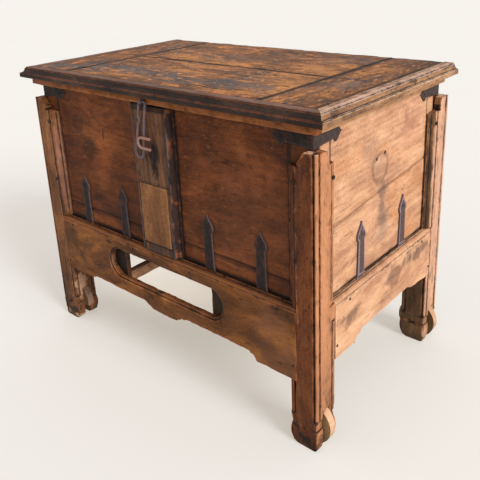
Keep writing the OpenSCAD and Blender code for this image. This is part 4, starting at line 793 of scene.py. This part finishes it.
class TRUNK_OT_lid(bpy.types.Operator):
    """Makes the boards, mouldings and lip of the lid"""
    bl_idname = "trunk.lid"
    bl_label = "Lid"
    bl_options = {"REGISTER", "UNDO"}

    def execute(self, context):
        c = context.scene.trunk_colours
        top = (srgb(60, 38, 26), srgb(118, 74, 44), srgb(178, 120, 68))
        grey = srgb(78, 70, 70)
        spots = ((-0.49, -0.26, 0.09, 0.07, 0.85), (-0.36, -0.20, 0.16, 0.09, 0.85),
                 (-0.16, -0.18, 0.13, 0.07, 0.8), (0.04, -0.21, 0.15, 0.06, 0.8),
                 (0.24, -0.20, 0.14, 0.06, 0.75), (0.46, -0.05, 0.05, 0.12, 0.5),
                 (-0.10, 0.10, 0.20, 0.05, 0.4), (0.20, 0.20, 0.16, 0.05, 0.4))
        marks = [((x, y, 0.886), (wide, deep, 0.05), grey, amount, 0.8, 0.5)
                 for x, y, wide, deep, amount in spots]
        plain = [(0.8650, 0.8625, srgb(98, 66, 42))]
        crust = [(grey, 6.0, 0.53, 0.62, 0.55), (srgb(58, 40, 32), 34.0, 0.53, 0.62, 0.55)]
        chips = [(srgb(186, 118, 62), 30.0, 0.56, 0.61, 0.75),
                 (srgb(50, 36, 30), 60.0, 0.53, 0.60, 0.65),
                 (srgb(200, 142, 88), 75.0, 0.60, 0.65, 0.7)]
        # Bands of dirt and painted shade along the joints between the lid's boards and its mouldings.
        edges = [(1, -0.3055, 0.010, 0.45), (0, 0.530, 0.008, 0.4), (0, -0.530, 0.008, 0.4),
                 (0, 0.371, 0.018, 0.75), (0, -0.374, 0.014, 0.6), (1, -0.0073, 0.012, 0.6)]
        boards = wood("lid_wood", *top, axis="X", dirt_and_shade=c.dirt_and_shade[:], edge_dirt=0.7, grit=0.34,
                      patches=marks, stains=crust, flecks=chips, shadows=edges, cracks=0.9, below=plain)
        ends = wood("lid_end_wood", *top, axis="Y", dirt_and_shade=c.dirt_and_shade[:], edge_dirt=0.7, grit=0.34,
                    patches=marks, stains=crust, flecks=chips, shadows=edges, cracks=0.9, below=plain)
        worn_copies(("lid_board_front", "lid_board_rear"), boards, 31.0, steps=(0.02, 0.016, 0),
                    wear=0.0014, reach=0.006)
        worn_copies(("lid_board_left", "lid_board_right"), ends, 33.0, steps=(0.016, 0.02, 0),
                    wear=0.0014, reach=0.006)
        strip = [(2, 0.8840, 0.8855, srgb(108, 88, 80), 0.85)]
        for name, axis, seed, steps in (("front", "X", 36.0, (0.008, 0, 0)),
                                        ("left", "Y", 37.0, (0, 0.008, 0))):
            dark = wood(name + "_moulding_wood", srgb(30, 23, 21), srgb(48, 37, 32), srgb(84, 62, 50),
                        axis=axis, worn=srgb(126, 66, 38), wear=0.45, wormy=True, layers=strip,
                        dirt_and_shade=c.dirt_and_shade[:])
            worn_copy("lid_moulding_" + name, dark, seed, width=0.0008, steps=steps, wear=0.0009,
                      reach=0.003)
        pink = srgb(172, 138, 126)
        inner_edge = ((0.533, 0.0, 0.888), (0.0145, 3.0, 0.006), srgb(112, 76, 50), 0.95, 0.2, 0.3)
        # Paler than the front moulding, partly painted light from the lamp at the right; its shadows
        # bands under the top bead and lower down are dirt and painted shade.
        pale = wood("right_moulding_wood", srgb(84, 56, 40), srgb(146, 108, 78), srgb(186, 148, 114),
                    axis="Y", worn=srgb(196, 164, 140), wear=0.5, wormy=True, dirt_and_shade=c.dirt_and_shade[:],
                    dirt_amount=0.85, layers=[(2, 0.8800, 0.8820, pink, 0.9)], patches=[inner_edge],
                    flecks=[(srgb(58, 42, 36), 48.0, 0.56, 0.62, 0.75), (pink, 30.0, 0.60, 0.66, 0.7)],
                    shadows=[(2, 0.8832, 0.0016, 0.8), (2, 0.8700, 0.0012, 0.35)],
                    below=[(0.8568, 0.8556, srgb(96, 70, 50))])
        worn_copy("lid_moulding_right", pale, 38.0, width=0.0008, steps=(0, 0.006, 0), wear=0.0010,
                  reach=0.003)
        lip = wood("lip_wood", srgb(64, 34, 14), srgb(104, 58, 22), srgb(140, 84, 34), axis="X",
                   worn=c.worn[:])
        # Paler than the front lip, partly painted light from the lamp at the right.
        side = wood("side_lip_wood", srgb(104, 68, 44), srgb(158, 108, 70), srgb(188, 138, 94),
                    axis="Y", worn=srgb(192, 146, 104), wear=0.4,
                    flecks=[(srgb(64, 44, 32), 40.0, 0.58, 0.63, 0.7)])
        left = wood("left_lip_wood", c.brown_dark[:], c.brown_mid[:], c.brown_light[:], axis="Y",
                    worn=c.worn[:])
        worn_copy("lid_lip_front", lip, 39.0, steps=(0.014, 0, 0))
        worn_copy("lid_lip_left", left, 40.0, steps=(0, 0.014, 0))
        worn_copy("lid_lip_right", side, 41.0, steps=(0, 0.014, 0), wear=0.0010)
        return {"FINISHED"}


class TRUNK_OT_ironwork(bpy.types.Operator):
    """Makes the irons, straps, hinges, hasp and nails"""
    bl_idname = "trunk.ironwork"
    bl_label = "Ironwork"
    bl_options = {"REGISTER", "UNDO"}

    def execute(self, context):
        c = context.scene.trunk_colours
        # lit_side gives the corner irons a lighter colour where they lie on the box's right: painted
        # light.
        black = iron("black_iron", c.iron_dark[:], c.iron_light[:], c.rust[:], lit_side=srgb(62, 50, 48))
        # A lighter copy of the black iron for the straps on the box's right: painted light from the
        # lamp at the right, with more rubbed edges.
        worn = iron("lit_side_iron", srgb(70, 56, 54), srgb(128, 114, 122), srgb(118, 74, 52), edge=0.35)
        worn_copies(("iron_front_left", "iron_front_right", "iron_rear_left", "iron_rear_right"), black,
                    45.0, width=0.0006, steps=(0.008, 0.008, 0.008), wear=0.0006, reach=0.002,
                    shortest=0.002)
        for i, (node, finish) in enumerate((("straps_front", black), ("straps_left", black),
                                            ("straps_right", worn))):
            worn_copy(node, finish, 50.0 + i, width=0.0012, steps=(0.008, 0.008, 0.010), wear=0.0006,
                      reach=0.002, shortest=0.002)
        worn_copies(("hinge_leaves_box", "hinge_leaves_lid"), black, 55.0, width=0.0004,
                    steps=(0.01, 0, 0.01), wear=0.0003, swell=0.0001, reach=0.002, shortest=0.003)
        bare = iron("hasp_iron", srgb(92, 82, 88), srgb(160, 150, 168), srgb(170, 96, 60), 0.7)
        rosy = iron("shackle_iron", srgb(138, 106, 98), srgb(206, 182, 176), srgb(176, 114, 84), 0.6)
        for i, (node, finish) in enumerate((("hasp", bare), ("shackle", rosy), ("lid_staple", bare))):
            worn_copy(node, finish, 58.0 + i, width=0.0002, steps=(0, 0, 0.004), wear=0.0, sharp=80.0,
                      shortest=0.02)
        paint(("iron_nails", "rail_nails", "hinge_pins"), black)
        return {"FINISHED"}


class TRUNK_OT_wheels(bpy.types.Operator):
    """Makes the wooden wheels and their pins"""
    bl_idname = "trunk.wheels"
    bl_label = "Wheels"
    bl_options = {"REGISTER", "UNDO"}

    def execute(self, context):
        olive = wood("wheel_wood", srgb(62, 46, 30), srgb(104, 80, 54), srgb(148, 118, 84), axis="Z",
                     stains=[(srgb(84, 72, 60), 14.0, 0.52, 0.64, 0.6)])
        rim = wood("wheel_rim_wood", srgb(138, 100, 74), srgb(184, 144, 112), srgb(210, 174, 144),
                   axis="Y", flecks=[(srgb(110, 78, 54), 40.0, 0.58, 0.63, 0.6)])
        broken = wood("broken_wheel_wood", srgb(98, 74, 62), srgb(150, 120, 104), srgb(186, 156, 138),
                      axis="Y", flecks=[(srgb(70, 50, 42), 50.0, 0.56, 0.62, 0.7)])
        wheels = (("wheel_front_left", broken), ("wheel_front_right", rim), ("wheel_rear_left", rim),
                  ("wheel_rear_right", rim))
        for i, (node, bare) in enumerate(wheels):
            wheel = worn_copy(node, olive, 62.0 + i, steps=(0.012, 0, 0.012), wear=0.0014, reach=0.008)
            wheel.data.materials.append(bare)
            for face in wheel.data.polygons:
                on_rim = abs(face.normal.y) < 0.6
                face.material_index = int(on_rim)
        old = wood("peg_wood", srgb(30, 20, 14), srgb(50, 34, 24), srgb(76, 54, 38), axis="X")
        paint(("axle_pins", "leg_pegs"), old)
        return {"FINISHED"}


class TRUNK_PT_panel(bpy.types.Panel):
    """Lists the pieces, sizes and colours of the trunk"""
    bl_idname = "TRUNK_PT_panel"
    bl_label = "Old trunk"
    bl_space_type = "VIEW_3D"
    bl_region_type = "UI"
    bl_category = "Trunk"

    def draw(self, context):
        column = self.layout.column()
        for operator in OPERATORS:
            column.operator(operator.bl_idname)
        for group in (context.scene.trunk_wear, context.scene.trunk_colours):
            for key in group.__annotations__:
                column.prop(group, key)


GROUPS = (TrunkWear, TrunkColours)
OPERATORS = (TRUNK_OT_stage, TRUNK_OT_stand, TRUNK_OT_box, TRUNK_OT_lid, TRUNK_OT_ironwork,
             TRUNK_OT_wheels)


def register():
    for item in GROUPS + OPERATORS + (TRUNK_PT_panel,):
        bpy.utils.register_class(item)
    bpy.types.Scene.trunk_wear = bpy.props.PointerProperty(type=TrunkWear)
    bpy.types.Scene.trunk_colours = bpy.props.PointerProperty(type=TrunkColours)


def unregister():
    del bpy.types.Scene.trunk_colours
    del bpy.types.Scene.trunk_wear
    for item in reversed(GROUPS + OPERATORS + (TRUNK_PT_panel,)):
        bpy.utils.unregister_class(item)


def main():
    register()
    for operator in OPERATORS:
        group, name = operator.bl_idname.split(".")
        getattr(getattr(bpy.ops, group), name)()


if __name__ == "__main__":
    main()
